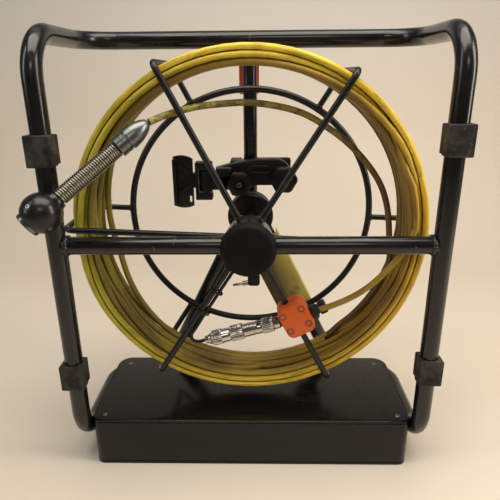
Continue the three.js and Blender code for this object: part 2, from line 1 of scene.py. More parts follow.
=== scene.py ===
"""The looks of the pipe inspection camera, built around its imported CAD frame.

Lengths are millimetres in this file and become metres where an object is made.
"""
import math

import bmesh
import bpy
import numpy
from mathutils import Matrix, Quaternion, Vector, noise


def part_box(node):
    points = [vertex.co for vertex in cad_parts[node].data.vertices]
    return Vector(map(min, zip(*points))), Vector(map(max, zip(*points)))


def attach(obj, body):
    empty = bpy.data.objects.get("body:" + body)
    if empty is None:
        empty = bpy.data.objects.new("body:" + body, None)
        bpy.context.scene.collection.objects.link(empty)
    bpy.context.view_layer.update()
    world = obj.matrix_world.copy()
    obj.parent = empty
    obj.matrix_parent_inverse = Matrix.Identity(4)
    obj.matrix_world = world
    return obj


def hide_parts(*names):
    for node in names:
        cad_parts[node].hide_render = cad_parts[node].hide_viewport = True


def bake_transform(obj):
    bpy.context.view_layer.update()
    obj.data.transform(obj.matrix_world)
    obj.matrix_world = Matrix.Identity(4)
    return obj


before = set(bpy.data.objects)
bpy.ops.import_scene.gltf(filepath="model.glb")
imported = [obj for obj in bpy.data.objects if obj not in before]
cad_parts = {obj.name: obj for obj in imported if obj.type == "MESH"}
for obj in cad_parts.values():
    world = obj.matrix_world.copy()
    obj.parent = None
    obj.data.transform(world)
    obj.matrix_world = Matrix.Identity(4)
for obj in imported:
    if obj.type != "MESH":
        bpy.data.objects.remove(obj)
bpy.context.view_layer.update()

MM = 0.001

# ---- Driving sizes, as in the CAD ----
HALF_WIDTH = 200
FRAME_R = 10
FRONT_Y = -68
REAR_Y = 82
TOP_Z = 488
BOTTOM_Z = 35
BEND_R = 43
FOOT_BEND_R = 30
AXLE_Z = 282
CROSSBAR_R = 9.5
POST_R = 8.5
LEG_TOP_X = 5
LEG_FOOT_X = 125.6

# The reel's wires
WIRE_R = 3.5
CAGE_R = 201.5
SPOKE_Y = -41
RING_Y = 63
RING_R = 151
RING_WIRE_R = 4
FLANGE_R = 24
WIRES = 6
FIRST_WIRE_DEG = -2.5

# The push rod's coil
ROD_R = 3.5
TURNS = 20
ROW_TURNS = 8  # turns across the reel before the winding comes back
STEPS_A_TURN = 72
BED_LOW = (179.4, -30.8)  # least radius and depth of the rod's centreline on the reel
BED_HIGH = (193.3, 24.3)
START_OF_COIL = (182, -33.3)
START_DEG = 2
END_OF_COIL = (179.4, 5.5)
WANDER = (4.0, 11.0)  # how far the turns stray in radius and depth as they are laid
ROWS_BEFORE_FILLING = 0.3  # rows laid before the winding fills inwards, and rows it takes for that
ROWS_OF_FILLING = 2
SETTLING_ROUNDS = 320
TOUCH = 2.03 * ROD_R  # turns nearer than this push each other apart
PUSH = 0.42  # share of what is missing that each push gives
EASING = 0.35  # how far a step moves each round to the middle between its neighbours
LAST_EASING = 0.18
LAST_ROUNDS = 25
SAG = (188, 38, 6.5)  # degrees, span in degrees and depth of the place where the coil sags inwards
LOOSE = (190, 34, 13)  # the same for the innermost turn, which hangs loose there
LOOSE_DEPTH = 5  # its least depth there
END_STEPS = 11  # left off the last turn, where the rod leaves the coil
CREVICE = 2.6  # dirt and painted shade darken the rod where the next turn is nearer than this
INNER_SHADE = (187, 7)  # painted shade: the coil turns brown inwards from this radius, over this distance
DEEP_SHADE = (-24, 22)  # and backwards from this depth
TONE_SPREAD = 0.28
SKIN_STRETCH = 0.12  # share of the rod's length that its dirt sees, so that streaks run along it
FAR = 99  # stands for the distance of a turn to itself

# The camera head: places along its axis are measured from its rod end
HEAD_TIP = Vector((-99.1, -53, 404.7))
HEAD_AXIS = Vector((-0.727, -0.354, -0.589)).normalized()
SPRING_SPAN = (38.4, 111.8)
BALL_PLACE = 133.3
BALL_SPAN = (114.3, 148.4)
BALL_R = 19.88
BALL_NECK_R = 9.2
LENS_PLACE = 149.6

# The holder's knobs in X and Z, its fork, and the video lead's end
CLAMP_KNOB = (41, 327)
TILT_PIVOT = (-13, 325)
FORK_X = -54.5
LEAD_X, LEAD_Y = 3, 62

# The picture's own view
CAMERA_PLACE = (11.3, -549.9, 448.1)
CAMERA_TURN = (19.54, -1.18, -0.49)  # degrees down, to the side and rolled
CAMERA_LENS = 35.45

AXLE = Vector((0, 0, AXLE_Z))
RIGHTWARDS = Vector((1, 0, 0))
BACKWARDS = Vector((0, 1, 0))
FORWARDS = Vector((0, -1, 0))
UPWARDS = Vector((0, 0, 1))
SIDES = (("left", -1), ("right", 1))


# ---- Mesh helpers ----
def add_object(name, data):
    piece = bpy.data.objects.new(name, data)
    bpy.context.scene.collection.objects.link(piece)
    return piece


def mesh_piece(name, points, faces, sharp_deg=38):
    """A mesh from millimetre points, with smooth shading that breaks at sharp edges."""
    data = bpy.data.meshes.new(name)
    data.from_pydata([Vector(point) * MM for point in points], [], faces)
    work = bmesh.new()
    work.from_mesh(data)
    bmesh.ops.remove_doubles(work, verts=work.verts, dist=1e-7)
    bmesh.ops.recalc_face_normals(work, faces=work.faces)
    work.to_mesh(data)
    work.free()
    data.shade_smooth()
    data.set_sharp_from_angle(angle=math.radians(sharp_deg))
    return add_object(name, data)


def axis_frame(axis):
    """Two unit vectors square to an axis."""
    side = UPWARDS if abs(axis.z) < 0.9 else RIGHTWARDS
    across = axis.cross(side).normalized()
    return across, axis.cross(across).normalized()


def turned_way(across, up, angle):
    """The direction at an angle between two square unit vectors."""
    return across * math.cos(angle) + up * math.sin(angle)


def round_angles(count):
    return [2 * math.pi * k / count for k in range(count)]


def ring_faces(rings, count, caps=(True, True)):
    """Quads between neighbouring rings of points, and a cap over either end."""
    faces = []
    for i in range(rings - 1):
        for k in range(count):
            n = (k + 1) % count
            faces.append((i * count + k, i * count + n, (i + 1) * count + n, (i + 1) * count + k))
    ends = (range(count), range((rings - 1) * count, rings * count))
    return faces + [tuple(end) for end, cap in zip(ends, caps) if cap]


def revolve(name, profile, origin, axis, segments, shape=None, sharp_deg=38):
    """A turned piece. Profile points are (radius, distance along the axis); shape may vary the radius."""
    axis = Vector(axis).normalized()
    across, up = axis_frame(axis)
    points = []
    for radius, along in profile:
        for angle in round_angles(segments):
            reach = radius if shape is None else radius + shape(radius, angle)
            points.append(Vector(origin) + axis * along + turned_way(across, up, angle) * reach)
    caps = [end[0] > 1e-6 and profile[0] != profile[-1] for end in (profile[0], profile[-1])]
    return mesh_piece(name, points, ring_faces(len(profile), segments, caps), sharp_deg)


def quadratic(start, control, end, steps=6):
    """Points along a quadratic curve, without its first."""
    start, control, end = (Vector(point) for point in (start, control, end))
    shares = [k / steps for k in range(1, steps + 1)]
    return [tuple(start * (1 - t) ** 2 + control * (2 * t * (1 - t)) + end * t**2) for t in shares]


def rounded_profile(profile, radius, steps=3):
    """The profile with each inner corner cut by a small arc."""
    result = [profile[0]]
    for before, corner, after in zip(profile, profile[1:], profile[2:]):
        here = Vector(corner)
        back = Vector(before) - here
        ahead = Vector(after) - here
        reach = min(radius, back.length * 0.45, ahead.length * 0.45)
        start = here + back.normalized() * reach
        end = here + ahead.normalized() * reach
        result += [tuple(start), *quadratic(start, here, end, steps)]
    return [*result, profile[-1]]


def sweep(name, points, radius, sides):
    """A round tube along points, with closed ends."""
    points = [Vector(point) for point in points]
    ways = [(b - a).normalized() for a, b in zip(points, points[1:])]
    tangents = [(a + b).normalized() for a, b in zip([ways[0], *ways], [*ways, ways[-1]])]
    across, _ = axis_frame(tangents[0])
    verts = []
    for i, (point, tangent) in enumerate(zip(points, tangents)):
        if i:
            across = tangents[i - 1].rotation_difference(tangent) @ across
            across = (across - tangent * across.dot(tangent)).normalized()
        up = tangent.cross(across)
        verts += [point + turned_way(across, up, angle) * radius for angle in round_angles(sides)]
    return mesh_piece(name, verts, ring_faces(len(points), sides))


def bent(corners, radii, steps):
    """Corner points with each inner corner turned into an arc."""
    corners = [Vector(corner) for corner in corners]
    points = [corners[0]]
    for before, corner, after, radius in zip(corners, corners[1:], corners[2:], radii):
        back = (before - corner).normalized()
        ahead = (after - corner).normalized()
        half = back.angle(ahead) / 2
        centre = corner + (back + ahead).normalized() * (radius / math.sin(half))
        arm = corner + back * (radius / math.tan(half)) - centre
        axis = arm.cross(corner + ahead * (radius / math.tan(half)) - centre).normalized()
        arc = math.pi - 2 * half
        points += [centre + Quaternion(axis, arc * k / steps) @ arm for k in range(steps + 1)]
    return [*points, corners[-1]]


def smooth(points, steps):
    """Even points on a centripetal Catmull-Rom curve through the given ones."""
    points = [Vector(point) for point in points]
    padded = [points[0] * 2 - points[1], *points, points[-1] * 2 - points[-2]]
    fine = []

    def between(first, second, start, end, t):
        return first * ((end - t) / (end - start)) + second * ((t - start) / (end - start))

    for p0, p1, p2, p3 in zip(padded, padded[1:], padded[2:], padded[3:]):
        t1 = max((p1 - p0).length, 1e-6) ** 0.5
        t2 = t1 + max((p2 - p1).length, 1e-6) ** 0.5
        t3 = t2 + max((p3 - p2).length, 1e-6) ** 0.5
        for k in range(40):
            t = t1 + (t2 - t1) * k / 40
            middle = between(p1, p2, t1, t2, t)
            early = between(between(p0, p1, 0, t1, t), middle, 0, t2, t)
            late = between(middle, between(p2, p3, t2, t3, t), t1, t3, t)
            fine.append(between(early, late, t1, t2, t))
    return evenly([*fine, points[-1]], steps)


def evenly(points, steps):
    """The same line with evenly spaced points."""
    lengths = [0.0]
    for a, b in zip(points, points[1:]):
        lengths.append(lengths[-1] + (b - a).length)
    result, i = [], 0
    for k in range(steps + 1):
        target = lengths[-1] * k / steps
        while i < len(points) - 2 and lengths[i + 1] < target:
            i += 1
        span = max(lengths[i + 1] - lengths[i], 1e-9)
        result.append(points[i].lerp(points[i + 1], min(1, (target - lengths[i]) / span)))
    return result


def rounded_outline(left, right, low, high, radius, steps=6):
    """An anticlockwise rounded rectangle as (across, up) points; radius may be four corner radii."""
    radii = radius if isinstance(radius, (list, tuple)) else [radius] * 4
    corners = [(right, low, -90), (right, high, 0), (left, high, 90), (left, low, 180)]
    points = []
    for (x, y, start), r in zip(corners, radii):
        cx = x - r if x == right else x + r
        cy = y + r if y == low else y - r
        for k in range(steps + 1):
            angle = math.radians(start + 90 * k / steps)
            points.append((cx + r * math.cos(angle), cy + r * math.sin(angle)))
    return points


def plate(name, outline, front, back, edge, upright=False):
    """An outline in X and Z given thickness along Y, with rounded edges. Upright: in X and Y, along Z."""
    count = len(outline)
    middle = [sum(values) / count for values in zip(*outline)]
    size = [max(values) - min(values) for values in zip(*outline)]
    angles = [math.pi / 2 * k / 4 for k in range(5)]
    rows = [(edge * (1 - math.sin(angle)), edge * (1 - math.cos(angle))) for angle in angles]
    levels = [(front + depth, inset) for inset, depth in rows]
    levels += [(back - depth, inset) for inset, depth in reversed(rows)]
    verts = []
    for level, inset in levels:
        for point in outline:
            across, along = (m + (p - m) * (1 - 2 * inset / s) for p, m, s in zip(point, middle, size))
            verts.append((across, along, level) if upright else (across, level, along))
    return mesh_piece(name, verts, ring_faces(len(levels), count))


def slab(name, left, right, low, high, radius, front, back, edge):
    """A plate with a rounded rectangle's outline."""
    return plate(name, rounded_outline(left, right, low, high, radius), front, back, edge)


def block(name, low, high, edge):
    """A box between two corners, with rounded edges."""
    return plate(name, rounded_outline(low[0], high[0], low[2], high[2], edge, 4), low[1], high[1], edge)


def rod(name, start, end, radius, edge=0.4, segments=32):
    """A round bar with softened ends."""
    start, end = Vector(start), Vector(end)
    length = (end - start).length
    profile = [(0, 0), (radius, 0), (radius, length), (0, length)]
    return revolve(name, rounded_profile(profile, edge), start, end - start, segments)


def removed(piece):
    """Takes a working object and its mesh out of the scene."""
    data = piece.data
    bpy.data.objects.remove(piece)
    bpy.data.meshes.remove(data)


def joined(name, pieces):
    """One object from several."""
    work = bmesh.new()
    for piece in pieces:
        work.from_mesh(piece.data)
        removed(piece)
    data = bpy.data.meshes.new(name)
    work.to_mesh(data)
    work.free()
    data.set_sharp_from_angle(angle=math.radians(38))
    return add_object(name, data)


def carve(piece, cutter):
    """Cuts one closed mesh out of another for good."""
    change = piece.modifiers.new("cut", "BOOLEAN")
    change.operation = "DIFFERENCE"
    change.solver = "EXACT"
    change.object = cutter
    bpy.context.view_layer.update()
    shown = piece.evaluated_get(bpy.context.evaluated_depsgraph_get())
    data = bpy.data.meshes.new_from_object(shown)
    old = piece.data
    piece.modifiers.clear()
    piece.data = data
    bpy.data.meshes.remove(old)
    removed(cutter)


def box(node):
    """The low and high corner of a CAD node, in millimetres."""
    return [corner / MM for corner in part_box(node)]


def finish(piece, body, look, *nodes):
    """Gives a piece its body and its material, and hides the CAD nodes it stands for."""
    material, slot = LOOKS[look]
    piece.data.materials.clear()
    piece.data.materials.append(material)
    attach(piece, body)
    if nodes:
        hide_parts(*nodes)
    return piece


def turned(name, profile, origin, axis, segments, body, look, *nodes, shape=None, sharp_deg=38):
    """A finished turned piece."""
    piece = revolve(name, profile, origin, axis, segments, shape, sharp_deg)
    return finish(piece, body, look, *nodes)


# ---- Material helpers ----
class Nodes:
    """A material's node tree with short calls. An underscore stands for a space in a socket's name."""

    def __init__(self, name):
        self.material = bpy.data.materials.new(name)
        self.material.use_nodes = True
        self.tree = self.material.node_tree
        self.shader = self.tree.nodes["Principled BSDF"]
        self.place = self.add("TexCoord").outputs["Object"]

    def feed(self, socket, value):
        """Links a socket to another one, or sets its number, vector or colour."""
        if isinstance(value, bpy.types.NodeSocket):
            self.tree.links.new(value, socket)
        else:
            socket.default_value = (*value, 1) if socket.type == "RGBA" else value

    def add(self, kind, **values):
        node = self.tree.nodes.new("ShaderNode" + kind)
        for name, value in values.items():
            self.feed(node.inputs[name.replace("_", " ")], value)
        return node

    def put(self, **values):
        """Sets or links the shader's sockets."""
        for name, value in values.items():
            self.feed(self.shader.inputs[name.replace("_", " ")], value)

    def noise(self, scale, detail=4.0, stretch=(1, 1, 1), distortion=0.0, place=None):
        mapping = self.add("Mapping", Vector=place or self.place, Scale=stretch)
        way = mapping.outputs["Vector"]
        texture = self.add("TexNoise", Vector=way, Scale=scale, Detail=detail, Distortion=distortion)
        return texture.outputs["Fac"]

    def stored(self, name, output="Fac"):
        """A value or vector kept on the mesh's points."""
        node = self.add("Attribute")
        node.attribute_name = name
        return node.outputs[output]

    def ramp(self, value, *stops):
        """Colour stops as (position, grey or colour)."""
        node = self.add("ValToRGB", Fac=value)
        for element, (position, colour) in zip(node.color_ramp.elements, stops):
            element.position = position
            colour = (colour,) * 3 if isinstance(colour, (int, float)) else colour
            element.color = (*colour, 1)
        return node.outputs["Color"]

    def cloud(self, scale, detail, *stops, **more):
        """Noise through two colour stops."""
        return self.ramp(self.noise(scale, detail, **more), *stops)

    def mix(self, amount, first, second, blend="MIX"):
        node = self.add("Mix")
        node.data_type = "RGBA"
        node.blend_type = blend
        for index, value in ((0, amount), (6, first), (7, second)):
            self.feed(node.inputs[index], value)
        return node.outputs[2]

    def height(self, value, strength, distance_mm):
        node = self.add("Bump", Strength=strength, Distance=distance_mm * MM, Height=value)
        self.put(Normal=node.outputs["Normal"])

    def spread(self, axis, low, high):
        """0 to 1 between two places along an axis, in millimetres."""
        split = self.add("SeparateXYZ", Vector=self.place)
        node = self.add("MapRange", Value=split.outputs[axis], From_Min=low * MM, From_Max=high * MM)
        return node.outputs["Result"]


def painted_metal(name, colour, rough, wear_colour, wear_from=0.68, coat=0.0):
    """Gloss paint with scuffs that show a lighter layer, orange peel and dulled patches."""
    n = Nodes(name)
    scuffs = n.cloud(110, 8, (wear_from, 0), (wear_from + 0.03, 1), stretch=(1, 1, 0.4), distortion=0.6)
    worn = n.mix(1, scuffs, n.cloud(14, 3, (0.45, 0), (0.62, 1)), "MULTIPLY")
    dust = n.cloud(26, 6, (0.4, 0), (0.8, 0.3))
    base = n.mix(dust, colour, [0.022 + value for value in colour])
    patches = n.cloud(38, 5, (0.3, rough), (0.75, rough + 0.16))
    n.put(Base_Color=n.mix(worn, base, wear_colour), Roughness=n.mix(worn, patches, (0.5,) * 3))
    n.put(Specular_IOR_Level=0.42, Coat_Weight=coat, Coat_Roughness=0.1)
    n.height(n.noise(420, 3), 0.1, 0.2)
    return n.material


def moulded_plastic(name, colour, rough, grain=0.25, light=0.012, shine=0.35):
    """Moulded plastic with a fine grain and slight changes of tone."""
    n = Nodes(name)
    mottle = n.cloud(45, 5, (0.35, 0), (0.75, 1))
    n.put(Base_Color=n.mix(mottle, colour, [value + light for value in colour]))
    n.put(Roughness=n.cloud(60, 4, (0.3, rough - 0.06), (0.7, rough + 0.12)), Specular_IOR_Level=shine)
    n.height(n.noise(1600, 2), grain, 0.12)
    return n.material


def scuffed_rubber():
    """Dull black rubber with grey-brown rubbed patches, pits and chalky specks."""
    n = Nodes("bumper_rubber")
    mottle = n.cloud(60, 7, (0.42, 0), (0.66, 1), distortion=0.7)
    base = n.mix(mottle, (0.007, 0.007, 0.008), (0.050, 0.044, 0.038))
    chalk = n.cloud(260, 6, (0.62, 0), (0.70, 0.6))
    n.put(Base_Color=n.mix(chalk, base, (0.13, 0.115, 0.095)), Specular_IOR_Level=0.35)
    n.put(Roughness=n.cloud(80, 4, (0.3, 0.5), (0.7, 0.8)))
    n.height(n.noise(330, 6), 0.35, 0.35)
    return n.material


def gloss_shell():
    """The base's gloss black: fine scratches, smudges and dust."""
    n = Nodes("gloss_black_shell")
    dust = n.cloud(1100, 2, (0.63, 0), (0.71, 0.5))
    speck = n.mix(1, dust, n.cloud(9, 4, (0.4, 0.1), (0.7, 0.8)), "MULTIPLY")
    scratch = n.cloud(60, 8, (0.5, 0), (0.56, 1), stretch=(1, 14, 1), distortion=1.5)
    smudge = n.cloud(12, 5, (0.35, 0.12), (0.7, 0.28))
    n.put(Base_Color=n.mix(speck, (0.0045, 0.0045, 0.005), (0.10, 0.09, 0.08)))
    n.put(Roughness=n.mix(scratch, smudge, n.mix(0.4, smudge, (0.4,) * 3)))
    n.put(Specular_IOR_Level=0.28, Coat_Weight=0.05, Coat_Roughness=0.07)
    n.height(n.noise(25, 3), 0.04, 0.5)
    return n.material


def bare_metal(name, colour, rough, stain=0.35):
    """Machined metal: faint tool lines, a few dull stains and slight tone changes."""
    n = Nodes(name)
    stains = n.cloud(45, 6, (0.60, 0), (0.80, stain))
    base = n.mix(n.cloud(20, 3, (0.3, 0), (0.8, 1)), colour, [value * 0.8 for value in colour])
    lines = n.noise(160, 3)
    n.put(Base_Color=n.mix(stains, base, (0.16, 0.13, 0.10)), Metallic=1)
    n.put(Roughness=n.ramp(lines, (0.35, rough), (0.75, rough + 0.06)))
    n.height(lines, 0.01, 0.01)
    return n.material


def yellow_rod():
    """Yellow jacket, greener to the left, with drain dirt along the rod, dirt and painted shade in between
    its turns, and painted shade on the coil's inner and back side.
    """
    n = Nodes("yellow_rod_jacket")
    left = n.spread("X", 0, -190)
    right = n.spread("X", 60, 190)
    clean = n.mix(left, n.mix(right, (0.98, 0.74, 0.055), (0.95, 0.62, 0.045)), (0.82, 0.74, 0.050))
    dull = n.mix(left, n.mix(right, (0.86, 0.60, 0.045), (0.74, 0.44, 0.035)), (0.52, 0.47, 0.035))
    base = n.mix(n.ramp(n.stored("tone"), (0.35, 0), (0.65, 1)), clean, dull)
    streaks = n.cloud(260, 5, (0.50, 0), (0.68, 0.8), distortion=0.4, place=n.stored("skin", "Vector"))
    base = n.mix(streaks, base, (0.34, 0.20, 0.025))
    base = n.mix(n.cloud(26, 5, (0.54, 0), (0.74, 0.55)), base, (0.36, 0.22, 0.025))
    # painted shade: darker brown on the coil's inner side and towards its back
    inner = n.mix(1, n.stored("inner"), n.cloud(14, 4, (0.35, 0.7), (0.6, 1)), "MULTIPLY")
    base = n.mix(inner, base, n.mix(left, (0.24, 0.135, 0.020), (0.145, 0.115, 0.018)))
    # painted shade, with some dirt, deep between neighbouring turns
    base = n.mix(n.ramp(n.stored("crevice_shade_and_dirt"), (0.30, 0), (0.90, 0.93)), base, (0.075, 0.042, 0.010))
    specks = n.cloud(700, 4, (0.64, 0), (0.72, 0.7))
    n.put(Base_Color=n.mix(specks, base, (0.08, 0.05, 0.015)), Specular_IOR_Level=0.45)
    n.put(Roughness=n.cloud(80, 4, (0.3, 0.30), (0.75, 0.55)))
    n.height(n.noise(600, 4), 0.15, 0.2)
    return n.material


def dirty_rod():
    """The rod's worn inner end: olive and brown over the yellow, darker towards the bottom, with dirt and
    specks.
    """
    n = Nodes("brown_rod_jacket")
    tone = n.mix(n.spread("X", -40, 60), (0.34, 0.30, 0.045), (0.33, 0.215, 0.028))
    # darker brown towards the bottom, from a height of 400 down to 330 mm
    tone = n.mix(n.spread("Z", 400, 330), tone, (0.17, 0.085, 0.02))
    base = n.mix(n.cloud(90, 8, (0.44, 0), (0.60, 0.85)), tone, (0.10, 0.065, 0.02))
    specks = n.cloud(350, 5, (0.54, 0), (0.62, 0.85))
    n.put(Base_Color=n.mix(specks, base, (0.06, 0.04, 0.015)))
    n.put(Roughness=n.cloud(80, 4, (0.3, 0.38), (0.75, 0.62)))
    n.height(n.noise(500, 4), 0.2, 0.25)
    return n.material


def clear_glass():
    """Dark coated glass."""
    n = Nodes("lens_glass")
    n.put(Base_Color=n.cloud(200, 3, (0.3, (0.01, 0.014, 0.02)), (0.8, (0.03, 0.035, 0.05))))
    n.put(Roughness=0.04, Coat_Weight=1)
    return n.material


def guard_yellow():
    """Aged yellow sheet: brown painted shade on its left wing, which faces away from the light; brighter and
    greener to the right.
    """
    n = Nodes("guard_sheet")
    tone = n.cloud(25, 5, (0.35, (0.85, 0.74, 0.13)), (0.7, (0.62, 0.53, 0.09)))
    # painted shade: the left wing takes these darker browns instead of the yellow
    brown = n.cloud(18, 4, (0.40, (0.26, 0.18, 0.06)), (0.7, (0.15, 0.10, 0.035)))
    base = n.mix(n.stored("wing"), tone, brown)
    stain = n.cloud(60, 8, (0.54, 0), (0.72, 0.55))
    n.put(Base_Color=n.mix(stain, base, (0.12, 0.08, 0.02)))
    n.put(Roughness=n.cloud(50, 4, (0.3, 0.3), (0.7, 0.5)))
    n.height(n.noise(90, 4), 0.15, 0.4)
    return n.material


def make_looks():
    """Each look's material and slot."""
    paint, plastic, metal = painted_metal, moulded_plastic, bare_metal
    shadow = plastic("screw_shadow", (0.012, 0.009, 0.008), 0.7, 0.2)
    black = (0.0045, 0.0045, 0.005)
    dark = (0.006, 0.006, 0.0065)
    moulding = (0.005, 0.005, 0.0055)
    cap = (0.004, 0.004, 0.0035)
    ball = (0.005, 0.005, 0.006)
    return {
        "frame": (paint("frame_paint", black, 0.16, (0.10, 0.09, 0.08), 0.68, 0.2), "frame_paint"),
        "cage": (paint("cage_paint", dark, 0.25, (0.10, 0.08, 0.06)), "cage_paint"),
        "rubber": (scuffed_rubber(), "bumper_rubber"),
        "shell": (gloss_shell(), "base_shell"),
        "battery": (plastic("battery_wrap", (0.03, 0.12, 0.28), 0.4), None),
        "plastic": (plastic("black_moulding", moulding, 0.42, 0.3), "black_plastic"),
        "cap": (plastic("hub_cap_moulding", cap, 0.55, 0.5, 0.003, 0.14), "black_plastic"),
        "bearing": (metal("bearing_steel", (0.62, 0.61, 0.6), 0.22), "bearing_steel"),
        "hub": (plastic("hub_grey", (0.17, 0.155, 0.155), 0.45, 0.2, 0.05), "hub_steel"),
        "head": (metal("head_steel", (0.19, 0.21, 0.20), 0.3, 0.2), "head_steel"),
        "spring": (metal("spring_steel", (0.27, 0.25, 0.20), 0.26, 0.5), "head_steel"),
        "ball": (paint("ball_black", ball, 0.2, (0.25, 0.23, 0.2), 0.74, 0.05), "ball_steel"),
        "nickel": (metal("connector_nickel", (0.60, 0.57, 0.51), 0.16, 0.45), "connector_nickel"),
        "orange": (plastic("junction_orange", (0.74, 0.115, 0.010), 0.42, 0.35, 0.02), "junction_orange"),
        "marker": (plastic("marker_orange", (0.66, 0.07, 0.02), 0.5, 0.2, 0.04), "marker_orange"),
        "rod": (yellow_rod(), "rod_yellow"),
        "lead": (dirty_rod(), "rod_yellow"),
        "guard": (guard_yellow(), "guard_yellow"),
        "cable": (plastic("cable_rubber", dark, 0.5, 0.2), "cable_rubber"),
        "glass": (clear_glass(), "lens_glass"),
        "screw": (metal("screw_steel", (0.32, 0.31, 0.29), 0.3), "bearing_steel"),
        "shadow": (shadow, "black_plastic"),
        # the clamp knob's screw is painted in the same screw shade
        "dark screw": (shadow, "bearing_steel"),
        "led": (plastic("led_lens", (0.7, 0.68, 0.55), 0.2, 0.05, 0.05), "lens_glass"),
    }


LOOKS = make_looks()


# ---- Camera ----
def make_camera():
    """The picture's own viewing place and angle."""
    pitch, yaw, roll = (math.radians(value) for value in CAMERA_TURN)
    forward = Vector((math.sin(yaw) * math.cos(pitch), math.cos(yaw) * math.cos(pitch), -math.sin(pitch)))
    right = Vector((math.cos(yaw), -math.sin(yaw), 0))
    up = right.cross(forward)
    rolled_up = up * math.cos(roll) - right * math.sin(roll)
    data = bpy.data.cameras.new("camera")
    data.lens = CAMERA_LENS
    data.sensor_width = 36
    camera = add_object("camera", data)
    axes = Matrix((turned_way(right, up, roll), rolled_up, -forward)).transposed()
    camera.matrix_world = Matrix.Translation(Vector(CAMERA_PLACE) * MM) @ axes.to_4x4()
    bpy.context.scene.camera = camera


# ---- Push rod, video lead: the free cords ----
def cord_curve(name, points, radius):
    """One open poly spline through millimetre points, with a round section."""
    data = bpy.data.curves.new(name, "CURVE")
    data.dimensions = "3D"
    data.bevel_depth = radius * MM
    data.bevel_resolution = 5
    data.use_fill_caps = True
    spline = data.splines.new("POLY")
    spline.points.add(len(points) - 1)
    for target, point in zip(spline.points, points):
        target.co = (*(Vector(point) * MM), 1)
    spline.use_smooth = True
    return add_object(name, data)


def on_reel(radius, y, degrees):
    angle = math.radians(degrees)
    return Vector((radius * math.cos(angle), y, AXLE_Z + radius * math.sin(angle)))


def smooth_noise(rng, count):
    """A seeded random line of unit spread that changes over about one turn."""
    shape = numpy.hanning(STEPS_A_TURN)
    line = numpy.convolve(rng.standard_normal(count + STEPS_A_TURN), shape, "same")[:count]
    return (line - line.mean()) / line.std()


def sag_at(degrees, place):
    """How far the rod hangs inwards at each angle."""
    centre, span, most = place
    return most * numpy.exp(-(((degrees - centre) / span) ** 2))


def coil_degrees():
    return 360 * (numpy.arange(TURNS * STEPS_A_TURN) % STEPS_A_TURN) / STEPS_A_TURN


def first_lay(rng):
    """Radius and depth of the wound rod at each step, before its turns settle against each other."""
    count = TURNS * STEPS_A_TURN
    rows = numpy.arange(count) / STEPS_A_TURN / ROW_TURNS
    low, high = numpy.array(BED_LOW), numpy.array(BED_HIGH)
    back = 1 - numpy.abs(rows % 2 - 1)
    inwards = numpy.clip(rows - ROWS_BEFORE_FILLING, 0, ROWS_OF_FILLING) / ROWS_OF_FILLING
    width = high[0] - low[0] + sag_at(coil_degrees(), SAG)
    radius = high[0] - width * inwards + WANDER[0] * smooth_noise(rng, count)
    depth = low[1] + (high[1] - low[1]) * back + WANDER[1] * smooth_noise(rng, count)
    return numpy.stack([radius, depth], axis=1)


def bed_limits():
    """The least and greatest radius and depth at each step: the last turn hangs loose inside the others."""
    degrees = coil_degrees()
    low, high = (numpy.tile(numpy.array(corner), (len(degrees), 1)) for corner in (BED_LOW, BED_HIGH))
    low[:, 0] -= sag_at(degrees, SAG)
    last = slice(-STEPS_A_TURN, None)
    hang = sag_at(degrees[last], LOOSE)
    low[last, 0] -= hang
    high[last, 0] += (low[last, 0] - high[last, 0]) * hang / LOOSE[2]
    low[last, 1] += (LOOSE_DEPTH - BED_LOW[1]) * hang / LOOSE[2]
    return low, high


def settled(places):
    """Turns pushed apart until they lie beside and across each other, with no sharp bend."""
    same = numpy.arange(TURNS)
    low, high = bed_limits()
    for step in range(SETTLING_ROUNDS):
        turns = places.reshape(TURNS, STEPS_A_TURN, 2)
        gap = turns[:, None] - turns[None]
        distance = numpy.linalg.norm(gap, axis=3) + 1e-6
        distance[same, same] = FAR
        push = numpy.clip(TOUCH - distance, 0, None) / distance * PUSH
        places += (gap * push[..., None]).sum(axis=1).reshape(-1, 2)
        weight = EASING if step < SETTLING_ROUNDS - LAST_ROUNDS else LAST_EASING
        places[1:-1] += weight * ((places[:-2] + places[2:]) / 2 - places[1:-1])
        numpy.clip(places, low, high, out=places)
        places[:4] = START_OF_COIL
        places[-END_STEPS - 4:] = END_OF_COIL
    return places


def crevices(skin, centres, first):
    """How deep each point of the rod's surface lies between neighbouring turns, from 0 to 1."""
    depth = numpy.zeros(skin.shape[:2])
    for station in range(STEPS_A_TURN):
        rings = numpy.arange(first + station, len(centres), STEPS_A_TURN)
        distance = numpy.linalg.norm(skin[rings][:, :, None] - centres[rings][None, None], axis=3)
        distance[numpy.arange(len(rings)), :, numpy.arange(len(rings))] = FAR
        depth[rings] = numpy.clip(1 - (distance.min(axis=2) - ROD_R) / CREVICE, 0, 1)
    return depth


def store(piece, name, values, kind="FLOAT"):
    """Keeps a value or a vector on each point of a mesh."""
    field = piece.data.attributes.new(name, kind, "POINT")
    field.data.foreach_set("value" if kind == "FLOAT" else "vector", numpy.ravel(values))


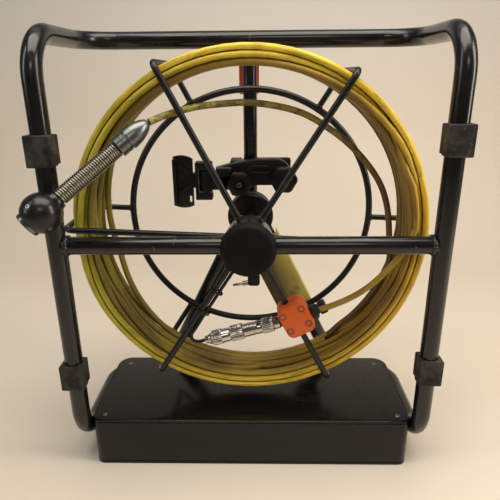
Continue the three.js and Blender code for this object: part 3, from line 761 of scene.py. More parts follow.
def wound_rod(name, route, first, rng):
    """The rod as one tube, with its dirt and painted shade, its tone and a place along its skin on each
    point.
    """
    sides = 14
    piece = sweep(name, route, ROD_R, sides)
    skin = numpy.empty(len(piece.data.vertices) * 3, dtype=numpy.float32)
    piece.data.vertices.foreach_get("co", skin)
    skin = skin.reshape(-1, sides, 3) / MM
    centres = numpy.array([tuple(point) for point in route])
    # painted shade and dirt between the turns
    store(piece, "crevice_shade_and_dirt", crevices(skin, centres, first))
    tone = 0.5 + TONE_SPREAD * smooth_noise(rng, len(route))
    store(piece, "tone", numpy.repeat(tone, sides))
    # painted shade: the coil darkens inwards from a radius and backwards from a depth
    reach = numpy.hypot(skin[..., 0], skin[..., 2] - AXLE_Z)
    inner = (INNER_SHADE[0] - reach) / INNER_SHADE[1]
    deep = (skin[..., 1] - DEEP_SHADE[0]) / DEEP_SHADE[1]
    store(piece, "inner", numpy.clip(numpy.maximum(inner, deep), 0, 1))
    steps = numpy.linalg.norm(numpy.diff(centres, axis=0), axis=1)
    angle = numpy.array(round_angles(sides))
    place = numpy.zeros((len(route), sides, 3))
    place[:, :, 0] = numpy.concatenate([[0], numpy.cumsum(steps)])[:, None] * SKIN_STRETCH
    place[:, :, 1] = numpy.cos(angle) * ROD_R
    place[:, :, 2] = numpy.sin(angle) * ROD_R
    store(piece, "skin", place * MM, "FLOAT_VECTOR")
    return piece


def push_rod():
    """From the junction box, across the coil's front and through all its turns."""
    tail = [
        (70.6, -38.8, 190.9), (92.3, -38.8, 198.4), (112.4, -38.8, 207.8), (129.8, -38.8, 219.1),
        (146.6, -38.8, 235), (159.5, -38.5, 250.6), (170.5, -37.5, 266),
    ]
    rng = numpy.random.default_rng(11)
    places = settled(first_lay(rng))[:-END_STEPS]
    turns = [on_reel(*place, START_DEG + 360 * k / STEPS_A_TURN) for k, place in enumerate(places)]
    start = smooth([*tail, turns[0]], 60)[:-1]
    route = start + turns
    piece = wound_rod("push_rod_coil", route, len(start), rng)
    finish(piece, "reel", "rod", "rod_coil", "rod_tail")


def rod_lead():
    """From the coil's inner face, up behind the spokes and forward to the camera head."""
    points = [
        on_reel(175.5, 5.5, -56),
        *(on_reel(171.5, 5 - 0.5 * i, 6 * i - 50) for i in range(6)),
        (165.4, 2, 238), (163.2, 0.5, 265), (156, -2, 308), (143.5, -4, 337), (115.5, -6, 370.5),
        (87, -8, 393), (54, -10, 411), (4.8, -14, 421), (-28, -17.5, 420.3), (-50, -23, 418.3),
        (-68, -30.2, 415), (-83, -40.2, 411), (-97.5, -51.9, 405.4),
    ]
    route = smooth(points, 150)
    return finish(cord_curve("push_rod_lead", route, ROD_R), "root", "lead", "rod_lead"), route


def video_lead():
    """Down from the rear housing to the jack."""
    places = ((LEAD_X, 254.2), (3.2, 242), (2.6, 228), (2.8, 212), (4, 196.8))
    route = smooth([(x, LEAD_Y, z) for x, z in places], 40)
    return finish(cord_curve("video_lead", route, 1.8), "root", "cable", "jack_lead"), route


# ---- Frame ----
def weld_bead(name, centre, axis, radius, width=3.4, bulge=1.5, seed=0):
    """A rippled ring of weld round a tube's end."""
    profile = [
        (radius - 1.2, -width), (radius + bulge, -width * 0.4), (radius + bulge * 1.1, width * 0.3),
        (radius - 1.0, width * 1.1),
    ]

    def ripple(reach, angle):
        return 0.35 * math.sin(angle * 11 + seed) + 0.3 * math.sin(angle * 17 + 2 * seed)

    return revolve(name, rounded_profile(profile, 1.4, 4), centre, axis, 72, ripple, 70)


def frame_weld(*place, **more):
    finish(weld_bead(*place, **more), "root", "frame")


def frame_rod(name, node, *shape):
    finish(rod(name, *shape), "root", "frame", node)


def side_tubes():
    """The two side loops, from the handle bar round to the bottom bar."""
    for word, side in SIDES:
        x = side * HALF_WIDTH
        corners = [
            (side * (HALF_WIDTH - BEND_R - 1), REAR_Y, TOP_Z), (x, REAR_Y, TOP_Z), (x, FRONT_Y, TOP_Z),
            (x, FRONT_Y, BOTTOM_Z), (x, REAR_Y, BOTTOM_Z),
            (side * (HALF_WIDTH - FOOT_BEND_R - 1), REAR_Y, BOTTOM_Z),
        ]
        route = bent(corners, [BEND_R, BEND_R, BEND_R, FOOT_BEND_R], 14)
        finish(sweep(f"{word}_side_tube", route, FRAME_R, 36), "root", "frame", f"{word}_frame_tube")


def cross_pieces():
    """The two front crossbars between the side tubes and the hub."""
    for word, side in SIDES:
        x = side * HALF_WIDTH
        ends = (x - side * 6, FRONT_Y, AXLE_Z), (side * 20, FRONT_Y, AXLE_Z)
        frame_rod(f"{word}_cross_tube", f"{word}_crossbar", *ends, CROSSBAR_R)
        outer, inner = (x - side * 11, FRONT_Y, AXLE_Z), (side * 26, FRONT_Y, AXLE_Z)
        frame_weld(f"{word}_crossbar_weld", outer, (side, 0, 0), CROSSBAR_R, seed=side)
        frame_weld(f"{word}_hub_weld", inner, (-side, 0, 0), CROSSBAR_R, 3, 1.2, side + 2)


def rear_frame():
    """Handle and bottom bars, the post with its marker, and the two legs."""
    for name, node, z, bend in (
        ("handle_tube", "handle_bar", TOP_Z, BEND_R), ("floor_tube", "bottom_bar", BOTTOM_Z, FOOT_BEND_R),
    ):
        reach = HALF_WIDTH - bend - 0.9
        frame_rod(name, node, (-reach, REAR_Y, z), (reach, REAR_Y, z), FRAME_R, 0.05, 36)
    frame_rod("post_tube", "rear_post", (0, REAR_Y, AXLE_Z + 16), (0, REAR_Y, TOP_Z - 5), POST_R)
    frame_weld("post_weld", (0, REAR_Y, TOP_Z - 10.5), UPWARDS, POST_R, seed=5)
    for word, side in SIDES:
        top = Vector((side * LEG_TOP_X, REAR_Y, AXLE_Z))
        foot = Vector((side * LEG_FOOT_X, REAR_Y, BOTTOM_Z))
        along = (foot - top).normalized()
        frame_rod(f"{word}_leg_tube", f"{word}_rear_leg", top + along * 12, foot - along * 5, FRAME_R)
        frame_weld(f"{word}_leg_weld", foot - along * 11.5, along, FRAME_R, seed=side + 9)
    low, high = box("marker_plate")
    marker = slab("rear_marker", low.x, high.x, low.z, high.z, 2.2, low.y, high.y, 0.7)
    finish(marker, "root", "marker", "marker_plate")


def bumpers():
    """Square rubber blocks in two halves, clipped together round the tube."""
    for node in [f"{word}_{level}_bumper" for word in ("left", "right") for level in ("upper", "lower")]:
        low, high = box(node)
        outline = rounded_outline(low.x, high.x, low.z, high.z, 1.4, 4)
        inner = rounded_outline(low.x + 0.7, high.x - 0.7, low.z + 0.9, high.z - 0.9, 1.2, 4)
        halves = [
            plate("half", outline, low.y, FRONT_Y + 3.5, 1.1),
            plate("half", inner, FRONT_Y + 3.8, high.y, 1.1),
        ]
        finish(joined(f"{node}_block", halves), "root", "rubber", node)


def cross_bars(centre, axis, radius, turn, low, high):
    """The two crossed bars of a screw's recess, between two heights over the head's middle."""
    across, up = axis_frame(axis)
    bars = []
    for angle in (turn, turn + math.pi / 2):
        along = turned_way(across, up, angle)
        side = axis.cross(along)
        points = [
            Vector(centre) + (along * a + side * b + axis * c) * radius
            for a in (-0.74, 0.74) for b in (-0.2, 0.2) for c in (low, high)
        ]
        faces = [(0, 1, 3, 2), (4, 6, 7, 5), (0, 4, 5, 1), (2, 3, 7, 6), (0, 2, 6, 4), (1, 5, 7, 3)]
        bars.append(mesh_piece("cross_bar", points, faces))
    return bars


def phillips_screw(name, centre, axis, radius, turn):
    """A pan head with a cross recess."""
    shares = [(0, 0.42), (0.55, 0.38), (0.84, 0.2), (1, 0), (1, -0.5), (0, -0.5)]
    head = revolve(name, [(a * radius, b * radius) for a, b in shares], centre, axis, 28)
    for bar in cross_bars(centre, axis, radius, turn, -0.15, 0.8):
        carve(head, bar)
    return head


# ---- Base box ----
def base_box():
    """The cover with its loose lid, the tray under it and four screws."""
    low, high = box("base_cover")
    floor_low, floor_high = box("base_plate")
    outline = rounded_outline(low.x, high.x, low.y, high.y, (10, 18, 18, 10), 8)
    for name, bottom, top, edge, *nodes in (
        ("base_cover_shell", low.z, high.z - 3.2, 0.5, "base_cover"),
        ("base_lid", high.z - 2.9, high.z, 2.4),
        ("base_tray", floor_low.z, floor_high.z, 0.6, "base_plate"),
    ):
        finish(plate(name, outline, bottom, top, edge, True), "root", "shell", *nodes)
    for k, (x, y) in enumerate(((-176, -58), (176, -58), (-172, 54), (172, 54))):
        screw = phillips_screw(f"base_screw_{k + 1}", (x, y, high.z - 0.5), UPWARDS, 3.2, 0.5 * k)
        finish(screw, "root", "screw")


# ---- Hubs ----
def hubs():
    """Everything turned about the axle; distances are along Y."""
    low, high = box("front_hub_cap")
    r = (high.x - low.x) / 2
    front, back = low.y, high.y
    cap = [
        (0, front + 1.4), (r * 0.3, front + 1.3), (r * 0.62, front + 0.7), (r * 0.8, front + 0.9),
        (r - 3.4, front + 2.0), (r - 1.2, front + 4.2), (r, front + 7.4), (r, back), (0, back),
    ]
    barrel = [(13, -79), (25.2, -79), (26, -78), (26, -51), (25.2, -50), (13, -50), (13, -79)]
    housing = [
        (13, 54.5), (26, 53.5), (27.5, 55), (27.5, 60), (26.9, 60.5), (26.9, 62), (27.5, 62.5),
        (27.5, 68.6), (26.2, 70), (20, 70.2), (20, 90.6), (18.6, 92), (0, 92),
    ]
    flange = [(8.8, -48), (22.5, -48), (24, -46.5), (24, -36.5), (22.5, -35), (8.8, -35), (8.8, -48)]
    grooves = []
    for radius in (12, 15, 18, 21, 24):
        grooves += [(radius + a, b) for a, b in ((-1.1, 42.5), (-0.8, 43.3), (0.8, 43.3), (1.1, 42.5))]
    rotor = [
        (8.8, 42.5), *grooves, (26.8, 42.5), (28.3, 44), (28.3, 51.2), (27, 52.5), (8.8, 52.5), (8.8, 42.5),
    ]
    shaft = [(0, -76), (6, -76), (6, -49.5), (8.5, -49.5), (8.5, 53), (6, 53), (6, 75), (0, 75)]
    for name, profile, segments, body, look, node in (
        ("hub_cap", rounded_profile(cap, 1.6, 4), 96, "root", "cap", "front_hub_cap"),
        ("hub_barrel", barrel, 72, "root", "frame", "front_hub_barrel"),
        ("rear_housing", rounded_profile(housing, 0.7), 72, "root", "hub", "rear_hub_housing"),
        ("wire_flange", flange, 64, "reel", "cage", "spoke_flange"),
        ("reel_rotor", rotor, 72, "reel", "plastic", "rear_rotor"),
        ("axle_shaft", rounded_profile(shaft, 0.5), 48, "reel", "cage", "reel_shaft"),
    ):
        turned(name, profile, AXLE, BACKWARDS, segments, body, look, node)


# ---- Reel cage ----
def spoke_place(index):
    """The axes of a spoke's own frame: out along it, back, and to its left seen from the front."""
    return Quaternion(FORWARDS, math.radians(index * 360 / WIRES + FIRST_WIRE_DEG))


def cage():
    """Six bent wires from the flange round the coil to the rear ring, welded at both ends."""
    corners = [
        (FLANGE_R - 0.5, SPOKE_Y, 0), (CAGE_R, SPOKE_Y, 0), (CAGE_R, RING_Y, 0), (RING_R + 1, RING_Y, 0),
    ]
    for index in range(WIRES):
        turn = spoke_place(index)
        route = [AXLE + turn @ point for point in bent(corners, [9, 6], 10)]
        wire = sweep(f"cage_rod_{index + 1}", route, WIRE_R, 20)
        finish(wire, "reel", "cage", f"cage_wire_{index + 1}")
        outward = turn @ RIGHTWARDS
        beads = []
        for reach, y, *shape in (
            (RING_R + 3.2, RING_Y, 2.2, 0.9, index), (FLANGE_R + 0.6, SPOKE_Y, 2.0, 1.0, index + 3),
        ):
            centre = AXLE + outward * reach + Vector((0, y, 0))
            beads.append(weld_bead("bead", centre, outward, WIRE_R, *shape))
        finish(joined(f"cage_welds_{index + 1}", beads), "reel", "cage")
    ring_route = [on_reel(RING_R, RING_Y, 360 * k / 160) for k in range(161)]
    finish(sweep("cage_ring", ring_route, RING_WIRE_R, 20), "reel", "cage", "rear_ring")


# ---- Junction box, connectors and pigtail ----
def junction_box():
    """Lid and case on the sixth spoke, with four screws, each in a dark ring of painted shade."""
    turn = spoke_place(5)
    outline = rounded_outline(88.6, 128.6, -14.1, 19.9, 8, 8)
    for name, front, back, node in (
        ("junction_cover", -53.5, -41.3, "junction_lid"), ("junction_case", -40.7, -29, "junction_base"),
    ):
        piece = plate(name, outline, front, back, 2.2)
        piece.data.transform(Matrix.Translation(AXLE * MM) @ turn.to_matrix().to_4x4())
        finish(piece, "reel", "orange", node)
    # painted shade: a dark ring round each screw head and a dark cross in its recess
    rim = [(2.7, 0.2), (3.1, 0.75), (3.9, 0.65), (4.0, 0.2), (2.7, 0.2)]
    shade_rings = []
    places = [(along, across) for along in (97.6, 117.6) for across in (-8.888, 13.992)]
    for k, (along, across) in enumerate(places, 1):
        place = AXLE + turn @ Vector((along, -52.9, across))
        finish(phillips_screw(f"junction_screw_{k}", place, FORWARDS, 2.7, 0.4 * k), "reel", "screw")
        shade_rings.append(revolve("rim", rim, place, FORWARDS, 32))
        shade_rings += cross_bars(place, FORWARDS, 2.66, 0.4 * k, -0.12, 0.06)
    finish(joined("junction_screw_shade_rings", shade_rings), "reel", "shadow")
    junction_gland(turn)


def junction_gland(turn):
    """The black nut and seal where the rod's outer end enters the box."""
    entry = AXLE + turn @ Vector((112.9, -38.8, 18.6))
    seal = [(3.6, -1), (7.4, -1), (7.4, 5.6), (6.4, 6), (6.4, 10.2), (4.6, 12.4), (3.6, 12.4), (3.6, -1)]

    def flats(reach, angle):
        return 0.5 * math.cos(6 * angle) if 6.9 < reach else 0

    profile = rounded_profile(seal, 0.5)
    turned("junction_gland", profile, entry, (26.4, 0, 13.8), 48, "reel", "plastic", shape=flats)


def knurl(radius_from, count, depth):
    """A shape that cuts grooves into a ring wider than radius_from."""
    def shape(reach, angle):
        return 0 if reach < radius_from else -depth * (0.5 + 0.5 * math.cos(angle * count)) ** 2
    return shape


def connectors():
    """The knurled socket and plug in line, and the boot between the socket and the box."""
    start = AXLE + Vector((34.2, -44, -101.1))
    along = Vector((-86.7, 0, -23.8))
    socket = [
        (0, 0), (6.6, 0), (7, 0.6), (7, 6.4), (7.6, 7), (8.7, 7.6), (9, 8.4), (9, 19.4), (8.6, 20.2),
        (7.6, 20.8), (7.6, 23), (7.8, 23.4), (7.8, 28), (7.3, 28.4), (7.3, 30), (7.8, 30.4), (7.8, 42.4),
        (7.2, 43), (0, 43),
    ]
    plug = [
        (0, 43.3), (8.6, 43.3), (9.2, 43.9), (9.3, 44.4), (9.3, 57.2), (8.8, 58), (7.8, 58.6), (7.8, 61),
        (8, 61.4), (8, 67.4), (8.4, 68.4), (8.9, 69), (9, 69.6), (9, 79), (8.4, 80), (6.2, 82), (6, 84),
        (4.6, 86), (4.5, 89), (0, 89),
    ]
    for name, profile, node, knurled in (
        ("line_socket", socket, "connector_socket", knurl(8.65, 24, 0.55)),
        ("line_plug", plug, "connector_plug", knurl(8.75, 24, 0.6)),
    ):
        turned(name, profile, start, along, 96, "reel", "nickel", node, shape=knurled, sharp_deg=30)
    boot = rounded_profile([(2.5, -3.4), (5.6, -3.4), (6.2, 0.2), (2.5, 0.2), (2.5, -3.4)], 0.3)
    turned("socket_boot", boot, start, along, 32, "reel", "plastic")


def pigtail():
    """The cable from the plug up a spoke to the hub, tied to it three times."""
    points = [
        (-52.6, -44, 157.1), (-61, -44, 155.1), (-67.3, -43.5, 157.5), (-68.2, -42.5, 163.5),
        (-63.8, -41.5, 170.2), (-54.7, -41, 185.2), (-43, -41, 203.5), (-31.2, -41, 222),
        (-19.4, -41, 240.5), (-9, -41, 257),
    ]
    finish(sweep("pigtail", smooth(points, 70), 2, 16), "reel", "cable", "pigtail_cable")
    turn = spoke_place(4)
    beside = turn @ UPWARDS
    for k, reach in enumerate((42, 74, 104)):
        centre = AXLE + turn @ Vector((reach, SPOKE_Y, 0)) + beside * 2.6
        finish(cable_tie(f"cable_tie_{k + 1}", centre, turn @ RIGHTWARDS, beside), "reel", "plastic")


def cable_tie(name, centre, along, beside):
    """A flat band round a spoke and the cable beside it."""
    half_long, half_short = 7.4, 4.6
    across = along.cross(beside)
    verts, faces = [], []
    count = 40
    for k, angle in enumerate(round_angles(count)):
        arm = beside * (half_long * math.cos(angle)) + across * (half_short * math.sin(angle))
        for a, b in ((-1.2, 0), (1.2, 0), (1.2, 0.8), (-1.2, 0.8)):
            verts.append(centre + arm + along * a + arm.normalized() * b)
        n = (k + 1) % count
        for a, b in ((0, 1), (1, 2), (2, 3), (3, 0)):
            faces.append((k * 4 + a, n * 4 + a, n * 4 + b, k * 4 + b))
    return mesh_piece(name, verts, faces)


# ---- Camera head ----
def on_head(name, profile, segments, body, look, *nodes, sharp_deg=38):
    """A piece turned about the head's axis, with distances from its rod end."""
    turned(name, profile, HEAD_TIP, HEAD_AXIS, segments, body, look, *nodes, sharp_deg=sharp_deg)


def camera_head():
    """The gland, the spring, the ball, and the lens with its lamps and two set screws."""
    gland = [
        (0, -0.4), (3.6, -0.4), (4.2, 0), (5.4, 1.6), (6.6, 3.6), (8, 6.6), (9.2, 10), (10.2, 14),
        (10.8, 18), (11.1, 22), (11.2, 24.6), (10.8, 25.3), (9.6, 25.5), (9.6, 26.5), (10.1, 26.8),
        (10.5, 27.3), (10.5, 31), (10.1, 31.4), (10.1, 32.2), (10.5, 32.6), (10.5, 37.3), (9.9, 38), (0, 38),
    ]
    on_head("head_gland", gland, 72, "root", "head", "rod_gland", sharp_deg=30)
    neck_spring()
    ball = [(0, 112), (8.7, 112), (BALL_NECK_R, 112.6)]
    first, last = (math.acos((place - BALL_PLACE) / BALL_R) for place in BALL_SPAN)
    steps = 26
    for k in range(steps + 1):
        angle = first + (last - first) * k / steps
        reach = BALL_R * math.sin(angle)
        if reach > BALL_NECK_R:
            ball.append((reach, BALL_PLACE + BALL_R * math.cos(angle)))
    ball += [(12.6, 148.9), (0, 148.9)]
    on_head("ball_skid_body", ball, 96, "head", "ball", "ball_skid", "camera_body", sharp_deg=30)
    bezel = [
        (10, 150.6), (10.4, 151.6), (11.4, 152.3), (12.4, 152), (13, 151), (13, 148.6), (10, 148.6),
        (10, 150.6),
    ]
    on_head("lens_bezel", bezel, 80, "head", "head", "lens_ring")
    face = [(0, 150.4), (3.4, 150.3), (3.6, 149.6), (9.6, 149.6), (9.9, 149.8), (9.9, 148.7), (0, 148.7)]
    on_head("lens_face", face, 64, "head", "glass", "lens_window")
    across, up = axis_frame(HEAD_AXIS)
    lamp = [(0, 0.9), (0.8, 0.7), (1.25, 0), (1.25, -0.3), (0, -0.3)]
    count, ring_r = 8, 6.8
    lamps = []
    for k in range(count):
        arm = turned_way(across, up, 2 * math.pi * (k + 0.5) / count)
        lamps.append(revolve("led", lamp, HEAD_TIP + HEAD_AXIS * LENS_PLACE + arm * ring_r, HEAD_AXIS, 16))
    finish(joined("lens_leds", lamps), "head", "led")
    screw = [(0, 0.2), (0.9, 0.2), (1, 0.55), (1.9, 0.6), (2.2, 0.2), (2.2, -1), (0, -1)]
    for k, way in enumerate((Vector((-0.1, -0.75, 0.65)), Vector((0.62, -0.5, -0.6)))):
        square = (way - HEAD_AXIS * way.dot(HEAD_AXIS)).normalized()
        place = HEAD_TIP + HEAD_AXIS * (BALL_PLACE + 3) + square * 19.3
        turned(f"set_screw_{k + 1}", screw, place, square, 24, "head", "screw")


def neck_spring():
    """A close-wound wire spring over a dark core, between the gland and the ball."""
    start, end = SPRING_SPAN
    wire_r, mean_r, core_r, pitch = 1.2, 7.3, 6.4, 2.46
    span = end - start - 2 * wire_r
    turns = span / pitch
    across, up = axis_frame(HEAD_AXIS)
    steps = int(turns * 22)
    route = []
    for share in [k / steps for k in range(steps + 1)]:
        arm = turned_way(across, up, 2 * math.pi * turns * share) * mean_r
        route.append(HEAD_TIP + HEAD_AXIS * (start + wire_r + span * share) + arm)
    spring = sweep("neck_coil_spring", route, wire_r, 10)
    rings = [(0, start)] + [(core_r, start + (end - start) * k / 30) for k in range(31)] + [(0, end)]
    core = revolve("neck_core", rings, HEAD_TIP, HEAD_AXIS, 24)
    for piece, look in ((spring, "spring"), (core, "cable")):
        material, slot = LOOKS[look]
        piece.data.materials.append(material)
        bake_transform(piece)
    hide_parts("neck_spring")


# ---- Monitor holder ----
def lobed_grip(name, centre, radius, front, back):
    """A hand knob with six shallow lobes, a raised centre and a rounded rim."""
    count = 96
    rows = [
        (0.0, front + 1.6), (0.34, front + 1.6), (0.38, front), (0.80, front), (0.93, front + 1.0),
        (1.0, front + 3.2), (1.0, back - 1.6), (0.94, back), (0.5, back), (0.0, back),
    ]
    verts = []
    for share, y in rows:
        for angle in round_angles(count):
            lobe = 0.8 * (1 - math.cos(6 * angle)) * (share if share > 0.6 else 0)
            reach = radius * share - lobe
            verts.append((centre[0] + reach * math.cos(angle), y, centre[1] + reach * math.sin(angle)))
    return mesh_piece(name, verts, ring_faces(len(rows), count, (False, False)), 40)


def clamp_outline():
    """The clamp's side view: its top edge climbs to the right and turns down over the knob."""
    return [
        (-41, 318), (49, 318), *quadratic((49, 318), (52, 318), (52, 321)), (52, 333),
        *quadratic((52, 333), (46, 351), (30, 351)), (8, 351),
        *quadratic((8, 351), (-16, 347.5), (-43, 340)), (-43, 320),
    ]


def black_part(name, pieces, body, node):
    """A black moulding joined from its pieces."""
    finish(joined(name, pieces), body, "plastic", node)


def monitor_holder():
    """The clamp with its jaw and knobs, the tilting arm, and the fork that carries the cradle."""
    tilt_x, tilt_z = TILT_PIVOT
    black_part("clamp_block", [
        plate("casting", clamp_outline(), 57.5, 73, 2.2),
        slab("hook", -26, -10.5, 320, 347, 2.5, 70, 99, 1.6),
        rod("boss", (tilt_x, 52.5, tilt_z), (tilt_x, 60, tilt_z), 10, 1),
        *(slab("rib", 2, 24, z, z + 3.4, 1.4, 55.6, 60, 1.0) for z in (332, 340)),
    ], "root", "clamp_body")
    low, high = box("clamp_jaw")
    jaw = slab("jaw_plate", low.x, high.x, low.z, high.z, 3, low.y, high.y, 1.3)
    finish(jaw, "jaw", "plastic", "clamp_jaw")
    for word, (x, z), radius, front, back, end, screw_look in (
        # this screw head takes the painted screw shade
        ("clamp", CLAMP_KNOB, 17, 42, 56.5, 97, "dark screw"),
        ("tilt", TILT_PIVOT, 15, 26, 40.5, 66, "screw"),
    ):
        body = f"{word}_screw"
        grip = lobed_grip("grip", (x, z), radius, front, back)
        black_part(f"{word}_hand_knob", [grip, rod("screw", (x, back - 2, z), (x, end, z), 3)],
                   body, f"{word}_knob")
        head = phillips_screw(f"{word}_knob_screw", (x, front + 1.2, z), FORWARDS, 3.4, 0.3)
        finish(head, body, screw_look)
    black_part("tilt_arm", [
        slab("beam", FORK_X, tilt_x + 2, tilt_z - 9, tilt_z + 9, 4, 41, 52.2, 1.8),
        slab("web", -41, -22, 316, 342.5, 3, 41, 52.2, 1.8),
        rod("eye", (tilt_x, 41, tilt_z), (tilt_x, 52.2, tilt_z), 11, 1),
        rod("knuckle", (FORK_X, 47, 314), (FORK_X, 47, 340), 8.5, 1),
    ], "arm", "holder_arm")
    black_part("cradle_fork", [
        block("side", (-66.5, 38.5, 304), (-63.4, 55.5, 350), 1.2),
        block("neck", (-69.3, 40, 319), (-65, 54, 337), 1.0),
        block("top", (-66.3, 38.5, 341), (-46, 55.5, 350), 1.6),
        block("foot", (-66.3, 38.5, 304), (-46, 55.5, 312.3), 1.6),
    ], "cradle", "swivel_fork")
    pin = rod("fork_pin", (FORK_X, 47, 303.6), (FORK_X, 47, 350.6), 3, 0.8)
    finish(pin, "arm", "bearing", "swivel_pin")
    cradle()


def cradle():
    """A thin plate with bowed ends, a raised lip on its outer edge, two deep ribs and a slot."""
    outline = [
        (-93, 296), *quadratic((-93, 296), (-80, 291), (-69.3, 296.5)), (-69.3, 354),
        *quadratic((-69.3, 354), (-80, 361), (-93, 356.5)),
    ]
    sheet = plate("sheet", outline, 42, 46, 1.0)
    carve(sheet, slab("slot", -74.6, -71.6, 300.5, 309, 1.4, 30, 60, 0.1))
    lip = slab("lip", -93, -88.8, 298, 355, 1.8, 34, 44, 1.4)
    ribs = []
    for z, lean in ((344, -7), (313, 7)):
        corners = [(-87, z), (-86, z + 3), (-74, z + 3 + lean), (-74, z + lean)]
        ribs.append(plate("rib", corners, 39.4, 43, 0.5))
    black_part("cradle_shoe", [sheet, lip, *ribs], "cradle", "cradle_plate")


# ---- Right leg's guard and collar ----
def leg_place(*local):
    """A point in the right leg's own frame: across it, back, and up along it from the axle."""
    slope = (LEG_FOOT_X - LEG_TOP_X) / (AXLE_Z - BOTTOM_Z)
    turn = Quaternion(BACKWARDS, -math.atan(slope))
    return Vector((LEG_TOP_X, REAR_Y, AXLE_Z)) + turn @ Vector(local)


def leg_guard():
    """A bent sheet round the leg's front, slightly buckled, with a wing to its left."""
    section = [
        (12, 4), (14, 4), (14, -13.8), (-13.6, -13.8), (-35, 1), (-34, 2.8), (-13, -11.8), (12, -11.8),
    ]
    rows, low, tall = 12, -150, 112
    verts = []
    for height in [low + tall * i / rows for i in range(rows + 1)]:
        for x, y in section:
            sag = 0.5 * noise.noise(Vector((x * 0.06, height * 0.04, 3)))
            verts.append(leg_place(x, y + sag * (1 if y < 0 else 0.4), height))
    guard = mesh_piece("leg_guard_sheet", verts, ring_faces(rows + 1, len(section)), 30)
    # marks the left wing, which the guard's material paints in shade
    wing = [1.0 if x < -12.5 else 0.0 for x, _ in section] * (rows + 1)
    store(guard, "wing", wing)
    bevel = guard.modifiers.new("soft_edges", "BEVEL")
    bevel.width = 0.5 * MM
    bevel.segments = 2
    finish(guard, "root", "guard", "leg_guard")


def leg_fittings():
    """The guard, and the clamp collar with its knurled knob."""
    leg_guard()
    up = (leg_place(0, 0, 1) - leg_place(0, 0, 0)).normalized()
    out = (leg_place(1, 0, 0) - leg_place(0, 0, 0)).normalized()
    collar = [
        (10.2, 0), (13, 0), (14, 1), (14, 9.4), (13.4, 10), (13.4, 12), (14, 12.6), (14, 21), (13, 22),
        (10.2, 22), (10.2, 0),
    ]
    turned("leg_clamp_collar", collar, leg_place(0, 0, -182), up, 64, "root", "plastic", "leg_collar")
    boss = [(3.4, 0), (6.4, 0), (7, 0.8), (7, 5), (3.4, 5), (3.4, 0)]
    turned("collar_boss", boss, leg_place(11.4, 0, -170.5), out, 32, "root", "plastic")
    knob = [(0, 0.6), (2.6, 0.4), (9.2, 0.4), (10, 1.4), (10, 9.6), (9, 11), (4, 11), (3.6, 10.2), (0, 10.2)]
    turned(
        "collar_thumb_knob", knob, leg_place(17, 0, -170.5), out, 96, "collar_screw", "plastic",
        "collar_knob", shape=knurl(9.6, 20, 0.7),
    )


# ---- Video jack ----
def video_jack():
    """The right-angle jack, its ribbed relief and pin, and the gland in the housing."""
    shell = slab("jack_moulding", -4.6, 11.6, 181, 196.5, 4, 56.5, 67.5, 2.2)
    finish(shell, "root", "plastic", "jack_body")
    ribbed = [(1.8, 0), (2.9, 0), (2.7, 2), (2.9, 2.4), (2.6, 4.4), (2.8, 4.8), (2.4, 7), (1.8, 7), (1.8, 0)]
    ribbed = rounded_profile(ribbed, 0.2)
    relief = turned("jack_relief", ribbed, (4, LEAD_Y, 196.2), UPWARDS, 24, "root", "cable")
    prongs = [
        (0, -1), (3.4, -1), (3.4, 7.2), (2.9, 7.8), (1.9, 8), (1.9, 12.4), (1.6, 12.7), (1.6, 13.2),
        (1.9, 13.5), (1.9, 17), (1.5, 17.6), (1.5, 18.2), (1.9, 19), (1.2, 20.6), (0, 21),
    ]
    along = (-20.6, 0, -3.8)
    pin = turned("jack_plug_pin", prongs, (-4.4, LEAD_Y, 184.3), along, 32, "root", "nickel", "jack_pin")
    gland = rounded_profile([(1.9, -1.5), (4.2, -1.5), (4.2, 2), (3, 4), (1.9, 4), (1.9, -1.5)], 0.3)
    turned("housing_gland", gland, (LEAD_X, LEAD_Y, 254.6), (0, 0, -1), 24, "root", "cable")
    return shell, relief, pin


# ---- CAD nodes that stay as they are ----
def finish_cad_nodes():
    looks = {"battery_pack": "battery", "front_bearing": "bearing", "rear_bearing": "bearing"}
    for node, look in looks.items():
        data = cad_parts[node].data
        data.materials.clear()
        data.materials.append(LOOKS[look][0])


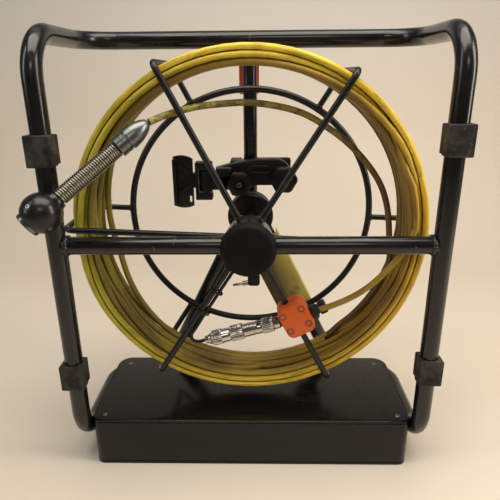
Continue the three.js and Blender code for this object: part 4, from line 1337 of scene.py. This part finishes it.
# ---- Floor and light ----
def backdrop():
    """A pale floor that curves up into a wall behind."""
    wall_y, bend, far, half_width = 900, 320, 2600, 3000
    rows = [(-far, 0), (wall_y - bend, 0)]
    for k in range(1, 13):
        angle = math.pi / 2 * k / 12
        rows.append((wall_y - bend + bend * math.sin(angle), bend - bend * math.cos(angle)))
    rows.append((wall_y, far))
    verts = [(x, y, z) for y, z in rows for x in (-half_width, half_width)]
    faces = [(2 * i, 2 * i + 1, 2 * i + 3, 2 * i + 2) for i in range(len(rows) - 1)]
    floor = mesh_piece("floor", verts, faces, 80)
    n = Nodes("pale_floor")
    tone = n.cloud(1.2, 3, (0.35, (0.74, 0.65, 0.54)), (0.7, (0.80, 0.72, 0.61)))
    n.put(Base_Color=n.mix(n.spread("Z", 250, 1100), tone, (0.48, 0.50, 0.52)), Roughness=0.75)
    n.height(n.noise(60, 3), 0.05, 0.5)
    floor.data.materials.append(n.material)


def area_light(name, place, target, size, power, colour):
    """A rectangular light of some watts, at a place and turned to a target."""
    data = bpy.data.lights.new(name, "AREA")
    data.shape = "RECTANGLE"
    data.size, data.size_y = (value * MM for value in size)
    data.energy = power
    data.color = colour
    lamp = add_object(name, data)
    way = (Vector(target) - Vector(place)).normalized()
    turn = way.to_track_quat("-Z", "Y").to_matrix().to_4x4()
    lamp.matrix_world = Matrix.Translation(Vector(place) * MM) @ turn


def lights():
    """A wide soft light from above, a wall wash and narrow side lights for the tubes' highlights."""
    warm = (1.0, 0.92, 0.80)
    for name, place, target, size, power, colour in (
        ("top_light", (60, -170, 1350), (40, -80, 0), (1200, 700), 14, warm),
        ("wall_light", (0, 300, 1150), (0, 900, 350), (1200, 300), 0.8, (0.93, 0.97, 1.0)),
        ("left_light", (-1200, -500, 1000), (0, 0, 250), (300, 1200), 4.5, (0.88, 0.95, 1.0)),
        ("right_light", (1100, -300, 700), (250, 0, 0), (300, 1000), 8, warm),
        ("front_light", (250, -1500, 1300), (0, 0, 150), (600, 300), 2.5, (1.0, 0.97, 0.93)),
    ):
        area_light(name, place, target, size, power, colour)
    world = bpy.data.worlds.new("studio")
    world.use_nodes = True
    background = world.node_tree.nodes["Background"].inputs
    background["Color"].default_value = (0.95, 0.90, 0.84, 1)
    background["Strength"].default_value = 0.09
    bpy.context.scene.world = world
    bpy.context.scene.view_settings.view_transform = "Standard"


# ---- Making it all, with the camera and the cords first ----
make_camera()
push_rod()
lead_piece, lead_route = rod_lead()
video_piece, video_route = video_lead()
side_tubes()
cross_pieces()
rear_frame()
bumpers()
base_box()
hubs()
cage()
junction_box()
connectors()
pigtail()
camera_head()
monitor_holder()
leg_fittings()
jack_pieces = video_jack()
finish_cad_nodes()
backdrop()
lights()
